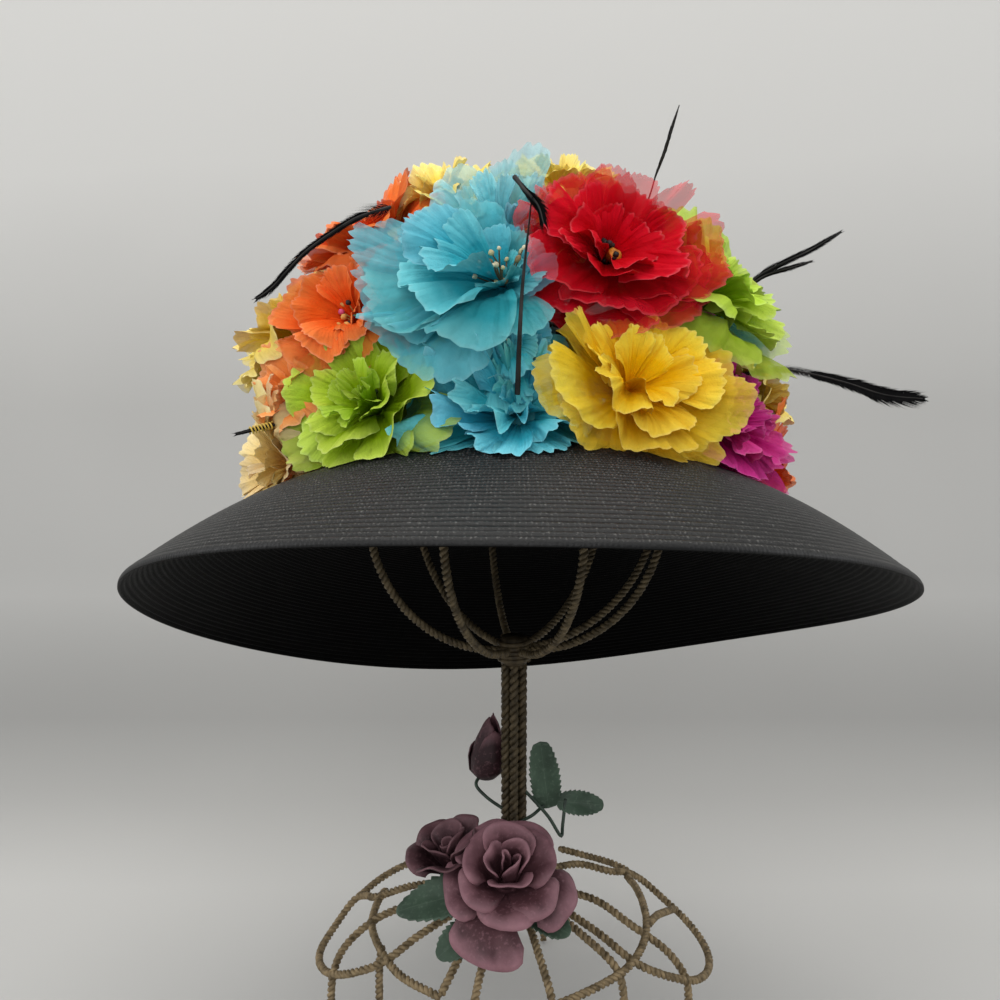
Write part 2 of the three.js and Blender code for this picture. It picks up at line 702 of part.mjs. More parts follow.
addNode(model, "base_frame", geometryOf(baseBody()), gold());

let standKeepOut = baseBody(GAP).add(stemBody(GAP));
const addFixed = (item, body, look) => {
  return addNode(model, item.name, geometryOf(largestBody(body.subtract(standKeepOut))), look);
};
ROSES.forEach((rose) => {
  addFixed(rose, roseBody(rose), material(rose.color, 0.6, 0.2));
  standKeepOut = standKeepOut.add(roseBody(rose, GAP));
});
addFixed(BUD, budBody(BUD), material(BUD.color, 0.6, 0.2));
LEAVES.forEach((leaf) => addFixed(leaf, leafBody(leaf), material(0x3c5a44, 0.6, 0.2)));

const middle = new THREE.Box3().setFromObject(model, true).getCenter(new THREE.Vector3()).setZ(0);
model.children.forEach((child) => child.position.sub(middle));

export default model;
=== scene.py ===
"""A straw hat covered in organza flowers, on its twisted wire stand. Lengths in the code are in
millimetres, until the matrices HAT and STAND take them into the row frame in metres."""
import math

import bpy
import numpy as np
from mathutils import Matrix, Vector


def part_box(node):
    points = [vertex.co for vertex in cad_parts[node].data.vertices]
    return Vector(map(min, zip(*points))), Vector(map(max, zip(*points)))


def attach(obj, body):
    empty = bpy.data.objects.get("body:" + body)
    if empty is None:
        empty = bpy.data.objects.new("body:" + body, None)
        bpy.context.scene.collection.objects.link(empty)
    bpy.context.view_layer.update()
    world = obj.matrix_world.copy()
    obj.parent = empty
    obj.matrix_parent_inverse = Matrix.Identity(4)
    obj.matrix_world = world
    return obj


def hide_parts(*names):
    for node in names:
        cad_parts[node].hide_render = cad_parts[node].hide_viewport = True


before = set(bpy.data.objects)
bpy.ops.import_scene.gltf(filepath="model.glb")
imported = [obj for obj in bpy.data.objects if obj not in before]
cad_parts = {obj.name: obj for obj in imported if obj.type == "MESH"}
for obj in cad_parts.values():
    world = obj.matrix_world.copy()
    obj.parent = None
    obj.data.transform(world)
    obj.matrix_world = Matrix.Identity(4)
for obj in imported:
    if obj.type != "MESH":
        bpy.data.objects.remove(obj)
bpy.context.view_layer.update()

# Frames of the hat and the stand
HAT_PLACE = (1.6, -26.4, 273)
HAT_ROLL = math.radians(-0.6)
HAT_TILT = math.radians(-23.67)
stem_low, stem_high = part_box("stem")
ORIGIN = Vector(((stem_low.x + stem_high.x) / 2, (stem_low.y + stem_high.y) / 2, 0))
STAND = Matrix.Translation(ORIGIN) @ Matrix.Scale(0.001, 4)
HAT = (
    STAND
    @ Matrix.Translation(HAT_PLACE)
    @ Matrix.Rotation(HAT_ROLL, 4, "Y")
    @ Matrix.Rotation(HAT_TILT, 4, "X")
)

# Brim and crown
RIM_RADIUS = 200
RIM_OVAL = 0.0164
BRIM_RISE = 62.5
BRIM_BOW = 1.77
BRIM_WALL = 2
BRIM_GAP = 0.35
CROWN_HALF = (90, 100)
CROWN_MEAN_HALF = 95
CROWN_HEIGHT = 108
CROWN_POWER = 2.4
CROWN_WALL = 1.5
CROWN_FOOT = np.array((0, 0, BRIM_RISE))

# The mass of flowers, and how they lie on each other and on the hat
FLOWER_HALF = 146
FLOWER_TOP = 174
FLOWER_POWER = 2.5
FIRST_SEED = 100
LIFT_OVER = 9
PUSH_UNDER = 13
OVER_CROWN = 1.2
OVER_BRIM = 1.0

WHITE = (1, 1, 1, 1)


# Mesh helpers
def transform(points, matrix):
    m = np.array(matrix)
    return np.asarray(points, float) @ m[:3, :3].T + m[:3, 3]


def polar(radius, angle, height):
    """Points at a radius and an angle round Z."""
    return np.stack(np.broadcast_arrays(radius * np.cos(angle), radius * np.sin(angle), height), axis=-1)


def pairs(u, v):
    return np.stack(np.broadcast_arrays(u, v), axis=-1)


def grid(rows, columns, around=False):
    """Quads of rows x columns points; around joins the last column to the first."""
    below = np.arange(rows - 1)[:, None] * columns
    above = below + columns
    here = np.arange(columns if around else columns - 1)
    beside = (here + 1) % columns
    corners = (below + here, below + beside, above + beside, above + here)
    return np.stack([corner.ravel() for corner in corners], axis=1)


def add_object(name, data):
    obj = bpy.data.objects.new(name, data)
    bpy.context.scene.collection.objects.link(obj)
    return obj


class Build:
    """Collects the points, faces, UVs, tints and finishes of one piece."""

    def __init__(self):
        self.points, self.faces, self.uv, self.tint, self.finish, self.count = [], [], [], [], [], 0

    def add(self, points, faces, uv=None, tint=WHITE, finish=0):
        points = np.asarray(points, float).reshape(-1, 3)
        self.points.append(points)
        self.faces += [[int(i) + self.count for i in f] for f in faces]
        self.finish += [finish] * len(faces)
        self.uv.append(np.zeros((len(points), 2)) if uv is None else np.asarray(uv, float).reshape(-1, 2))
        self.tint.append(np.tile(np.asarray(tint, float), (len(points), 1)))
        self.count += len(points)

    def make(self, name, matrix, materials, nodes=(), smooth=True, move=None):
        """Makes the object: move bends the points before the matrix takes them into the row frame."""
        points = np.concatenate(self.points)
        if move:
            points = move(points)
        mesh = bpy.data.meshes.new(name)
        mesh.from_pydata(transform(points, matrix).tolist(), [], self.faces)
        loops = np.zeros(len(mesh.loops), np.int32)
        mesh.loops.foreach_get("vertex_index", loops)
        uv = np.concatenate(self.uv).astype(np.float32)[loops]
        mesh.uv_layers.new(name="along").data.foreach_set("uv", uv.ravel())
        colour = mesh.color_attributes.new("tint", "FLOAT_COLOR", "POINT")
        colour.data.foreach_set("color", np.concatenate(self.tint).astype(np.float32).ravel())
        mesh.polygons.foreach_set("use_smooth", [smooth] * len(mesh.polygons))
        for material in materials if isinstance(materials, (list, tuple)) else [materials]:
            mesh.materials.append(material)
        mesh.polygons.foreach_set("material_index", self.finish)
        mesh.update()
        obj = add_object(name, mesh)
        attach(obj, "root")
        if nodes:
            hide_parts(*nodes)
        return obj


def transport(path):
    """Tangent and two cross directions at each point of a path, without twist."""
    tangent = np.gradient(np.asarray(path, float), axis=0)
    tangent /= np.linalg.norm(tangent, axis=1, keepdims=True)
    side = np.cross(tangent[0], [0, 0, 1] if abs(tangent[0][2]) < 0.9 else [1, 0, 0])
    normals = []
    for t in tangent:
        side = side - t * np.dot(side, t)
        side /= np.linalg.norm(side)
        normals.append(side)
    normals = np.array(normals)
    return tangent, normals, np.cross(tangent, normals)


def rounded(points, step):
    """A centripetal curve through the points, in equal steps."""
    p = [np.asarray(q, float) for q in points]
    p = [2 * p[0] - p[1]] + p + [2 * p[-1] - p[-2]]
    out = []
    for i in range(1, len(p) - 2):
        k = [0.0]
        for j in range(3):
            k.append(k[-1] + max(np.linalg.norm(p[i + j] - p[i + j - 1]), 1e-6) ** 0.5)
        for x in np.linspace(k[1], k[2], 24, endpoint=False):
            row = p[i - 1 : i + 3]
            for ends in (((0, 1), (1, 2), (2, 3)), ((0, 2), (1, 3)), ((1, 2),)):
                row = [a + (b - a) * (x - k[m]) / (k[n] - k[m]) for a, b, (m, n) in zip(row, row[1:], ends)]
            out.append(row[0])
    out.append(p[-2])
    out = np.array(out)
    run = np.concatenate([[0], np.cumsum(np.linalg.norm(np.diff(out, axis=0), axis=1))])
    at = np.linspace(0, run[-1], max(2, int(round(run[-1] / step)) + 1))
    return np.stack([np.interp(at, run, out[:, i]) for i in range(3)], axis=1)


def sweep(build, path, radii, sides, tint=WHITE, finish=0):
    """A closed round tube along the points of a path, with a radius at each."""
    path = np.asarray(path, float)
    _, normal, cross = transport(path)
    angle = np.linspace(0, math.tau, sides, endpoint=False)[None, :, None]
    radii = np.broadcast_to(np.asarray(radii, float), (len(path),))
    ring = np.cos(angle) * normal[:, None, :] + np.sin(angle) * cross[:, None, :]
    faces = grid(len(path), sides, around=True).tolist()
    faces += [list(range(sides))[::-1], [(len(path) - 1) * sides + i for i in range(sides)]]
    build.add(path[:, None, :] + ring * radii[:, None, None], faces, tint=tint, finish=finish)


def tube(build, points, radii, step, sides, tint=WHITE, finish=0):
    path = rounded(points, step)
    radii = np.atleast_1d(radii)
    spread = np.interp(np.linspace(0, 1, len(path)), np.linspace(0, 1, len(radii)), radii)
    sweep(build, path, spread, sides, tint, finish)


def ball(build, centre, radius, tint, finish=0, rows=6, columns=9):
    a = np.linspace(0.02, math.pi - 0.02, rows)[:, None]
    b = np.linspace(0, math.tau, columns, endpoint=False)[None, :]
    wide = radius * (1 + 0.1 * np.sin(3 * b + 2 * a))
    points = polar(wide * np.sin(a), b, wide * np.cos(a))
    build.add(points + np.asarray(centre), grid(rows, columns, around=True), tint=tint, finish=finish)


# Materials
def fill(node, values):
    for name, value in values.items():
        node.inputs[name].default_value = value


def node_material(name, specular):
    material = bpy.data.materials.new(name)
    material.use_nodes = True
    tree = material.node_tree
    shader = tree.nodes["Principled BSDF"]
    fill(shader, {"Specular IOR Level": specular})
    return material, tree, shader


def math_node(tree, operation, *values):
    node = tree.nodes.new("ShaderNodeMath")
    node.operation = operation
    for socket, value in zip(node.inputs, values):
        if isinstance(value, (int, float)):
            socket.default_value = value
        else:
            tree.links.new(value, socket)
    return node.outputs[0]


def times(tree, a, b):
    return math_node(tree, "MULTIPLY", a, b)


def plus(tree, a, b):
    return math_node(tree, "ADD", a, b)


def mix_colour(tree, factor, a, b, blend="MIX"):
    node = tree.nodes.new("ShaderNodeMix")
    node.data_type = "RGBA"
    node.blend_type = blend
    for socket, value in ((node.inputs[0], factor), (node.inputs[6], a), (node.inputs[7], b)):
        if isinstance(value, (int, float)):
            socket.default_value = value
        elif isinstance(value, tuple):
            socket.default_value = (*value[:3], 1)
        else:
            tree.links.new(value, socket)
    return node.outputs[2]


def noise(tree, scale, detail, vector=None):
    node = tree.nodes.new("ShaderNodeTexNoise")
    fill(node, {"Scale": scale, "Detail": detail})
    if vector is None:
        vector = tree.nodes.new("ShaderNodeTexCoord").outputs["Object"]
    tree.links.new(vector, node.inputs["Vector"])
    return node.outputs["Fac"]


def ramp(tree, value, low, high, to_low=0.0, to_high=1.0):
    node = tree.nodes.new("ShaderNodeMapRange")
    fill(node, {"From Min": low, "From Max": high, "To Min": to_low, "To Max": to_high})
    tree.links.new(value, node.inputs["Value"])
    return node.outputs["Result"]


def bump(tree, shader, height, strength, distance):
    node = tree.nodes.new("ShaderNodeBump")
    fill(node, {"Strength": strength, "Distance": distance})
    tree.links.new(height, node.inputs["Height"])
    tree.links.new(node.outputs["Normal"], shader.inputs["Normal"])


def uv_parts(tree):
    uv = tree.nodes.new("ShaderNodeUVMap")
    uv.uv_map = "along"
    split = tree.nodes.new("ShaderNodeSeparateXYZ")
    tree.links.new(uv.outputs[0], split.inputs[0])
    return uv.outputs[0], split.outputs["X"], split.outputs["Y"]


def tinted(tree, colour):
    attribute = tree.nodes.new("ShaderNodeAttribute")
    attribute.attribute_name = "tint"
    return mix_colour(tree, 1.0, colour, attribute.outputs["Color"], "MULTIPLY")


def straw_material(name, dark, light, painted_glint_colour, specular):
    """Sewn braid: UV x counts plaits along a row, y counts rows. Its colour carries painted glints on the
    strands and painted shade in the grooves between rows.
    """
    material, tree, shader = node_material(name, specular)
    _, u, v = uv_parts(tree)
    across = math_node(tree, "FRACT", v)
    fold = math_node(tree, "ABSOLUTE", plus(tree, across, -0.5))
    strand = math_node(tree, "SINE", times(tree, u, math.tau))
    grain = noise(tree, 1000, 3)
    bump(tree, shader, plus(tree, times(tree, strand, 0.15), grain), 0.5, 0.0004)
    patch = ramp(tree, noise(tree, 30, 3), 0.35, 0.7)
    base = mix_colour(tree, patch, dark, light)
    # Painted glints: light grey specks on the peaks of the strands stand in for light catching the straw
    painted_glints = ramp(tree, plus(tree, times(tree, strand, 0.06), grain), 0.54, 0.76)
    colour = mix_colour(tree, times(tree, painted_glints, 0.5), base, painted_glint_colour)
    # Painted shade: the colour darkens to near black towards the grooves between rows
    groove_shade = ramp(tree, fold, 0.1, 0.4)
    colour = mix_colour(tree, groove_shade, colour, tuple(0.05 * c for c in dark))
    tree.links.new(colour, shader.inputs["Base Color"])
    tree.links.new(ramp(tree, grain, 0.2, 0.8, 0.36, 0.56), shader.inputs["Roughness"])
    return material


def organza_material(name, heart, middle, edge, alpha):
    """Thin dyed cloth: UV x runs across a petal, y from its root to its edge. The tint varies by petal."""
    material, tree, shader = node_material(name, 0.04)
    uv, _, v = uv_parts(tree)
    mottle = plus(tree, noise(tree, 48, 3), -0.5)
    along = plus(tree, v, times(tree, mottle, 0.6))
    colour = mix_colour(tree, ramp(tree, along, 0.05, 0.5), heart, middle)
    colour = mix_colour(tree, ramp(tree, along, 0.62, 1.05), colour, edge)
    hem = times(tree, ramp(tree, v, 0.96, 1.0), 0.3)
    colour = mix_colour(tree, hem, colour, tuple(0.7 * c + 0.25 for c in edge))
    tree.links.new(tinted(tree, colour), shader.inputs["Base Color"])
    stretch = tree.nodes.new("ShaderNodeVectorMath")
    stretch.operation = "MULTIPLY"
    stretch.inputs[1].default_value = (13, 1.6, 1)
    tree.links.new(uv, stretch.inputs[0])
    crease = noise(tree, 1.0, 2.5, stretch.outputs[0])
    crumple = times(tree, noise(tree, 120, 2), 1.1)
    weave = times(tree, noise(tree, 1400, 1), 0.15)
    bump(tree, shader, plus(tree, crease, plus(tree, crumple, weave)), 0.6, 0.0035)
    fill(shader, {"Roughness": 0.8, "Alpha": alpha})
    return material


def plain_material(name, dark, light, scale, roughness, metallic=0.0, specular=0.5):
    """Two colours mixed in patches of the scale, over a fine grain."""
    material, tree, shader = node_material(name, specular)
    colour = mix_colour(tree, ramp(tree, noise(tree, scale, 4), 0.35, 0.65), dark, light)
    tree.links.new(tinted(tree, colour), shader.inputs["Base Color"])
    grain = noise(tree, 300, 3)
    bump(tree, shader, grain, 0.5, 0.0002)
    tree.links.new(ramp(tree, grain, 0.2, 0.8, roughness - 0.08, roughness + 0.1), shader.inputs["Roughness"])
    fill(shader, {"Metallic": metallic})
    return material


def painted_material(name, deep, face, rubbed, wear=0.8):
    """Painted sheet metal, paler where its edges are rubbed: UV y is 1 at the edge."""
    material, tree, shader = node_material(name, 0.3)
    _, _, v = uv_parts(tree)
    blotch = noise(tree, 70, 4)
    speck = noise(tree, 500, 3)
    colour = mix_colour(tree, ramp(tree, blotch, 0.3, 0.7), deep, face)
    near = plus(tree, v, times(tree, plus(tree, blotch, -0.5), 0.5))
    colour = mix_colour(tree, times(tree, ramp(tree, near, 0.7, 1.05), wear), colour, rubbed)
    colour = mix_colour(tree, times(tree, ramp(tree, speck, 0.55, 0.75), 0.35), colour, rubbed)
    tree.links.new(colour, shader.inputs["Base Color"])
    bump(tree, shader, speck, 0.3, 0.0003)
    tree.links.new(ramp(tree, blotch, 0.2, 0.8, 0.45, 0.65), shader.inputs["Roughness"])
    return material


STRAW = straw_material("straw", (0.0065, 0.0064, 0.006), (0.013, 0.0127, 0.012), (0.24, 0.234, 0.22), 0.34)
# The same straw for the inner side of the brim and crown, darkened as painted shade and with less shine
STRAW_UNDER_PAINTED_SHADE = straw_material(
    "straw_underside_painted_shade", (0.001, 0.001, 0.0011), (0.002, 0.002, 0.0021), (0.005, 0.005, 0.005), 0.04
)
GOLD = plain_material(
    "antique_gold", (0.12, 0.087, 0.045), (0.33, 0.245, 0.135), 220, 0.55, metallic=0.15, specular=0.3
)
FEATHER = plain_material(
    "black_feather", (0.002, 0.002, 0.0024), (0.005, 0.0048, 0.005), 300, 0.75, specular=0.06
)
QUILL = plain_material("grey_quill", (0.007, 0.0066, 0.0063), (0.035, 0.031, 0.029), 90, 0.5, specular=0.2)
THREAD = plain_material("gold_thread", (0.6, 0.4, 0.05), (0.8, 0.6, 0.12), 500, 0.5)
GREEN_WIRE = plain_material("green_wire", (0.012, 0.026, 0.016), (0.03, 0.055, 0.035), 200, 0.5)
ROSE_PAINT = painted_material("mauve_paint", (0.06, 0.023, 0.028), (0.13, 0.054, 0.064), (0.4, 0.2, 0.235))
CUP_PAINT = painted_material(
    "dark_mauve_paint", (0.022, 0.008, 0.01), (0.05, 0.02, 0.025), (0.3, 0.15, 0.17), wear=0.55
)
LEAF_PAINT = painted_material(
    "green_paint", (0.03, 0.052, 0.034), (0.065, 0.11, 0.072), (0.16, 0.22, 0.165), wear=0.4
)
STAMEN = plain_material("stamen", (0.6, 0.56, 0.5), (0.95, 0.9, 0.84), 300, 0.6)

# Finishes of a flower, in the order of its materials
SHEER, BODY, TRIM = 0, 1, 2
SHEER_ALPHA, BODY_ALPHA = 0.56, 0.88

# Each cloth's colour at the heart, the middle and the edge of a petal
ORGANZA = {
    "red": ((0.34, 0.0, 0.002), (0.6, 0.001, 0.008), (0.72, 0.008, 0.024)),
    "turquoise": ((0.0, 0.34, 0.47), (0.04, 0.45, 0.56), (0.2, 0.66, 0.75)),
    "pale_turquoise": ((0.03, 0.42, 0.5), (0.16, 0.6, 0.68), (0.42, 0.78, 0.84)),
    "gold": ((0.95, 0.4, 0.0), (0.97, 0.57, 0.005), (0.97, 0.76, 0.08)),
    "yellow": ((0.96, 0.52, 0.0), (0.97, 0.72, 0.06), (0.97, 0.84, 0.3)),
    "orange": ((0.74, 0.03, 0.002), (0.9, 0.11, 0.012), (0.92, 0.24, 0.06)),
    "salmon": ((0.84, 0.1, 0.012), (0.94, 0.25, 0.04), (0.95, 0.42, 0.16)),
    "cream": ((0.92, 0.5, 0.12), (0.95, 0.7, 0.28), (0.96, 0.79, 0.44)),
    "lime": ((0.16, 0.32, 0.0), (0.34, 0.53, 0.01), (0.56, 0.74, 0.1)),
    "magenta": ((0.3, 0.0, 0.07), (0.5, 0.006, 0.16), (0.66, 0.06, 0.3)),
    "pink": ((0.66, 0.02, 0.12), (0.84, 0.1, 0.26), (0.88, 0.28, 0.42)),
}
CLOTH = {
    name: (
        organza_material(f"organza_{name}_sheer", *colours, SHEER_ALPHA),
        organza_material(f"organza_{name}", *colours, BODY_ALPHA),
        STAMEN,
    )
    for name, colours in ORGANZA.items()
}


# Straw brim and crown
def crown_radius(angle):
    return 1 / np.hypot(np.cos(angle) / CROWN_HALF[0], np.sin(angle) / CROWN_HALF[1])


def rim_height(angle):
    twice, thrice = 2 * angle, 3 * angle
    waves = 4.56 * np.cos(twice) + 3.95 * np.sin(twice) - 1.08 * np.cos(thrice) - 0.06 * np.sin(thrice)
    return waves - 0.65 * np.cos(2 * twice)


def brim_edges(angle):
    """The radius of the brim's opening round the crown, and that of its rim."""
    return crown_radius(angle) + BRIM_GAP, RIM_RADIUS * (1 + RIM_OVAL * np.cos(2 * angle))


def brim_top(angle, out):
    return BRIM_RISE * (1 - np.maximum(out, 0) ** BRIM_BOW) + rim_height(angle) * out**2


def brim_points(angle, out, lift):
    inner, rim = brim_edges(angle)
    radius = inner + (rim - inner) * out
    return polar(radius, angle, brim_top(angle, out) + lift)


def crown_points(angle, up, lift):
    """up is 0 at the crown's foot and 1 at its top."""
    turn = np.clip(up, 0, 1) * math.pi / 2
    across = np.cos(turn) ** (2 / CROWN_POWER)
    rise = np.sin(turn) ** (2 / CROWN_POWER)
    radius = crown_radius(angle) * across * (1 + lift / CROWN_MEAN_HALF)
    return polar(radius, angle, BRIM_RISE + rise * (CROWN_HEIGHT + lift))


# One braid row: shares of its width, and the height of its ridge there
BRAID_ROW = ((0.0, -0.5), (0.22, 0.3), (0.5, 0.5), (0.78, 0.3))


def braid_shell(name, surface, rows, segments, wall, plaits, rolled=0):
    """A shell of sewn braid rows on both sides of a surface; the last rows, rolled, are thicker."""
    outer = []
    for row in range(rows):
        swell = 1.5 if row >= rows - rolled else 1.0
        outer += [((row + q) / rows, h * swell, row + q) for q, h in BRAID_ROW]
    outer.append((1.0, -0.3, rows))
    along, ridge, row = (np.array(column)[:, None] for column in zip(*outer))
    angle = np.linspace(0, math.tau, segments + 1) + math.pi / 2
    wobble = 0.0006 * np.sin(angle * 9 + 3 * along * rows) + 0.0004 * np.sin(angle * 23 + 11 * along * rows)
    wobble = wobble * (along > 0.01) * (along < 0.99)
    plait = (angle - angle[0]) / math.tau * plaits
    count = segments + 1
    faces = grid(len(outer), count)
    build = Build()
    # The outer side takes the straw; the inner side takes the same straw darkened as painted shade
    for lift, turned, finish in ((ridge, faces[:, ::-1], 0), (-wall - ridge, faces, 1)):
        build.add(surface(angle, along + wobble, lift), turned, pairs(plait, row), finish=finish)
    last = (len(outer) - 1) * count
    under = len(outer) * count
    for start, turn in ((0, 1), (last, -1)):
        for i in range(start, start + segments):
            build.faces.append([i, i + 1, i + 1 + under, i + under][::turn])
            build.finish.append(0)
    build.make(name + "_braid", HAT, [STRAW, STRAW_UNDER_PAINTED_SHADE], [name])


braid_shell("brim", brim_points, rows=50, segments=180, wall=BRIM_WALL, plaits=620, rolled=2)
braid_shell("crown", crown_points, rows=26, segments=96, wall=CROWN_WALL, plaits=300)


# Organza flowers. First the colours of the stamens' beads: half of the second colours their threads.
CREAM_BEADS =((0.92, 0.85, 0.62), (0.3, 0.2, 0.09), (0.8, 0.7, 0.4))
DARK_BEADS = ((0.015, 0.008, 0.01), (0.03, 0.012, 0.016), (0.012, 0.012, 0.012))
PINK_BEADS = ((0.85, 0.12, 0.36), (0.9, 0.5, 0.12), (0.012, 0.008, 0.01))
GREEN_BEADS = ((0.04, 0.07, 0.012), (0.3, 0.36, 0.1), (0.02, 0.03, 0.01))

# Each flower: name, azimuth and rise of its axis in degrees, radius, style, cloth, order (a higher one lies
# over a lower one), where its heart lies off the axis (to the right and up), its tip in degrees, how far it
# sinks into the mass as a share of its radius, and its stamens, if any (number, length and beads)
FLOWERS = [
    ("red", 18, 33, 43, "open", "red", 9, (2, 5), (22, 0), 0.4, (15, 14, DARK_BEADS)),
    ("turquoise_upper", -13, 25, 38, "open", "turquoise", 10, (22, 10), (10, 0), 0.5, (16, 19, CREAM_BEADS)),
    ("turquoise_top", -4, 45, 31, "crest", "pale_turquoise", 6.5, (0, -8), (12, 0), 0.85),
    ("turquoise_middle", -4, 13, 30, "poppy", "turquoise", 5, (4, 4), (6, 0), 0.6, (6, 10, CREAM_BEADS)),
    ("turquoise_lower", -5, 2, 50, "carnation", "turquoise", 7.5, (10, 2), (-14, 0), 0.66),
    ("gold_right", 22, 7, 43, "open", "gold", 8, (0, 2), (-6, 0), 0.5),
    ("magenta_right", 47, 7, 40, "carnation", "magenta", 4.5, (0, 2), (0, 0), 0.62),
    ("lime_right", 47, 33, 48, "peony", "lime", 5.5, (2, 2), (8, 0), 0.42),
    ("yellow_right", 78, 22, 38, "peony", "yellow", 2, (0, 0), (0, 0), 0.65),
    ("orange_right", 76, 2, 36, "peony", "orange", 2.5, (0, 0), (0, 0), 0.7),
    ("lime_left", -30, 5, 41, "peony", "lime", 7.7, (-2, 4), (-6, 0), 0.6, (6, 11, GREEN_BEADS)),
    ("orange_left", -36, 25, 36, "open", "orange", 6.2, (6, -3), (10, -4), 0.45, (12, 14, PINK_BEADS)),
    ("orange_top", -38, 44, 37, "poppy", "orange", 8.5, (0, 2), (4, 0), 0.5),
    ("yellow_left", -66, 31, 40, "peony", "yellow", 3, (0, 4), (0, 0), 0.5),
    ("salmon_left", -52, 12, 34, "poppy", "salmon", 4, (0, 2), (0, 0), 0.55),
    ("cream_left", -62, 2, 38, "poppy", "cream", 4.2, (4, 0), (0, -6), 0.6),
    ("yellow_top_left", -20, 52, 38, "peony", "yellow", 3.2, (0, -4), (0, 0), 0.5),
    ("yellow_top_right", 12, 51, 34, "peony", "yellow", 3.1, (0, 0), (0, 0), 0.4),
    ("pink_top", -160, 78, 48, "peony", "pink", 1.5, (0, 0), (0, 0), 0.75),
    ("magenta_top", 60, 53, 38, "carnation", "magenta", 2.8, (-4, 6), (-6, 0), 0.95),
    ("turquoise_left", -84, 44, 48, "poppy", "turquoise", 2.6, (0, 0), (0, 0), 0.75, (8, 10, CREAM_BEADS)),
    ("orange_back_left", -113, 5, 42, "peony", "orange", 4.1, (0, 0), (0, 0), 0.55),
    ("red_back_left", -110, 26, 42, "open", "red", 3.2, (0, 0), (8, 0), 0.55, (10, 14, DARK_BEADS)),
    ("lime_back_left", -142, 32, 51, "carnation", "lime", 3.3, (0, 0), (0, 0), 0.55),
    ("magenta_back_left", -136, 57, 46, "carnation", "magenta", 2.2, (0, 0), (0, 0), 0.6),
    ("gold_back_left", -147, 5, 43, "peony", "gold", 5.1, (0, 0), (0, 0), 0.55),
    ("turquoise_back", 177, 6, 45, "poppy", "turquoise", 4.6, (0, 0), (0, 0), 0.55, (8, 14, CREAM_BEADS)),
    ("yellow_back", 176, 34, 50, "peony", "yellow", 2.4, (0, 0), (0, 0), 0.55),
    ("red_back", 140, 6, 44, "open", "red", 5.3, (0, 0), (8, 0), 0.5, (10, 14, DARK_BEADS)),
    ("orange_back", 134, 33, 47, "poppy", "orange", 3.5, (0, 0), (0, 0), 0.55, (9, 13, PINK_BEADS)),
    ("lime_back_right", 108, 6, 46, "carnation", "lime", 4.4, (0, 0), (0, 0), 0.55),
    ("turquoise_back_right", 100, 46, 50, "peony", "turquoise", 2.1, (0, 0), (0, 0), 0.55),
]

# A layer: petals, reach as a share of the radius, half width, slopes at root, middle and edge, finish. Angles
# are in degrees. A shape: waves along a petal's edge, depths of its ruffles and notches, columns of its mesh.
STYLES = {
    "open": dict(
        layers=[
            (6, 1.14, 42, (20, 6, -12), SHEER),
            (6, 1.08, 40, (38, 24, 4), SHEER),
            (6, 0.98, 42, (54, 42, 22), BODY),
            (5, 0.78, 46, (64, 52, 30), BODY),
        ],
        shape=dict(lobes=11, ruffle=0.065, tooth=0.035, columns=41),
    ),
    "poppy": dict(
        layers=[
            (6, 1.16, 38, (26, 12, -12), SHEER),
            (6, 1.04, 38, (44, 26, 4), BODY),
            (6, 0.86, 40, (60, 46, 24), BODY),
            (4, 0.55, 46, (74, 66, 46), BODY),
        ],
        shape=dict(lobes=9, ruffle=0.07, tooth=0.04, columns=35),
    ),
    "crest": dict(
        layers=[
            (6, 1.2, 38, (52, 38, 22), SHEER),
            (6, 1.08, 36, (64, 52, 42), SHEER),
            (5, 0.9, 40, (78, 70, 60), BODY),
        ],
        shape=dict(lobes=8, ruffle=0.06, tooth=0.05, columns=33),
    ),
    "peony": dict(
        layers=[
            (6, 1.16, 38, (20, 8, -12), SHEER),
            (7, 1.05, 36, (40, 24, 2), BODY),
            (6, 0.9, 38, (56, 42, 22), BODY),
            (6, 0.7, 40, (70, 60, 44), BODY),
            (4, 0.5, 46, (82, 80, 64), BODY),
        ],
        shape=dict(lobes=8, ruffle=0.06, tooth=0.045, columns=33),
    ),
    "carnation": dict(
        layers=[
            (7, 1.14, 33, (20, 8, -10), SHEER),
            (8, 1.02, 30, (36, 22, 8), BODY),
            (8, 0.88, 30, (52, 40, 28), BODY),
            (8, 0.7, 31, (66, 58, 48), BODY),
            (7, 0.5, 35, (80, 78, 72), BODY),
        ],
        shape=dict(lobes=7, ruffle=0.085, tooth=0.075, columns=27),
    ),
}

# Single petals that reach further than their layer: turn, length, half width, slopes
LONG_PETALS = {
    "red": [
        (-14, 56, 30, (34, 22, 4)), (-48, 44, 30, (34, 20, 0)), (30, 50, 14, (52, 44, 36)),
        (66, 44, 34, (58, 50, 44)), (104, 44, 34, (58, 50, 46)),
    ],
    "turquoise_upper": [
        (172, 66, 24, (38, 20, -4)), (198, 66, 22, (34, 14, -14)), (146, 50, 28, (44, 28, 8)),
        (222, 56, 24, (36, 16, -8)),
    ],
    "gold_right": [(168, 50, 12, (44, 36, 30)), (-100, 46, 30, (24, 2, -14)), (-62, 46, 28, (26, 4, -10))],
    "turquoise_lower": [(190, 58, 26, (20, 4, -8)), (12, 50, 30, (24, 4, -6)), (-6, 54, 24, (18, 2, -8))],
    "yellow_left": [(200, 46, 15, (40, 26, 14)), (235, 46, 14, (36, 20, 10))],
}


# Where along a petal its slopes are given, the steps that follow them, and how round its corners are
SLOPES_AT = (0, 0.6, 1)
SLOPE_STEPS = 23
CORNER = 0.34


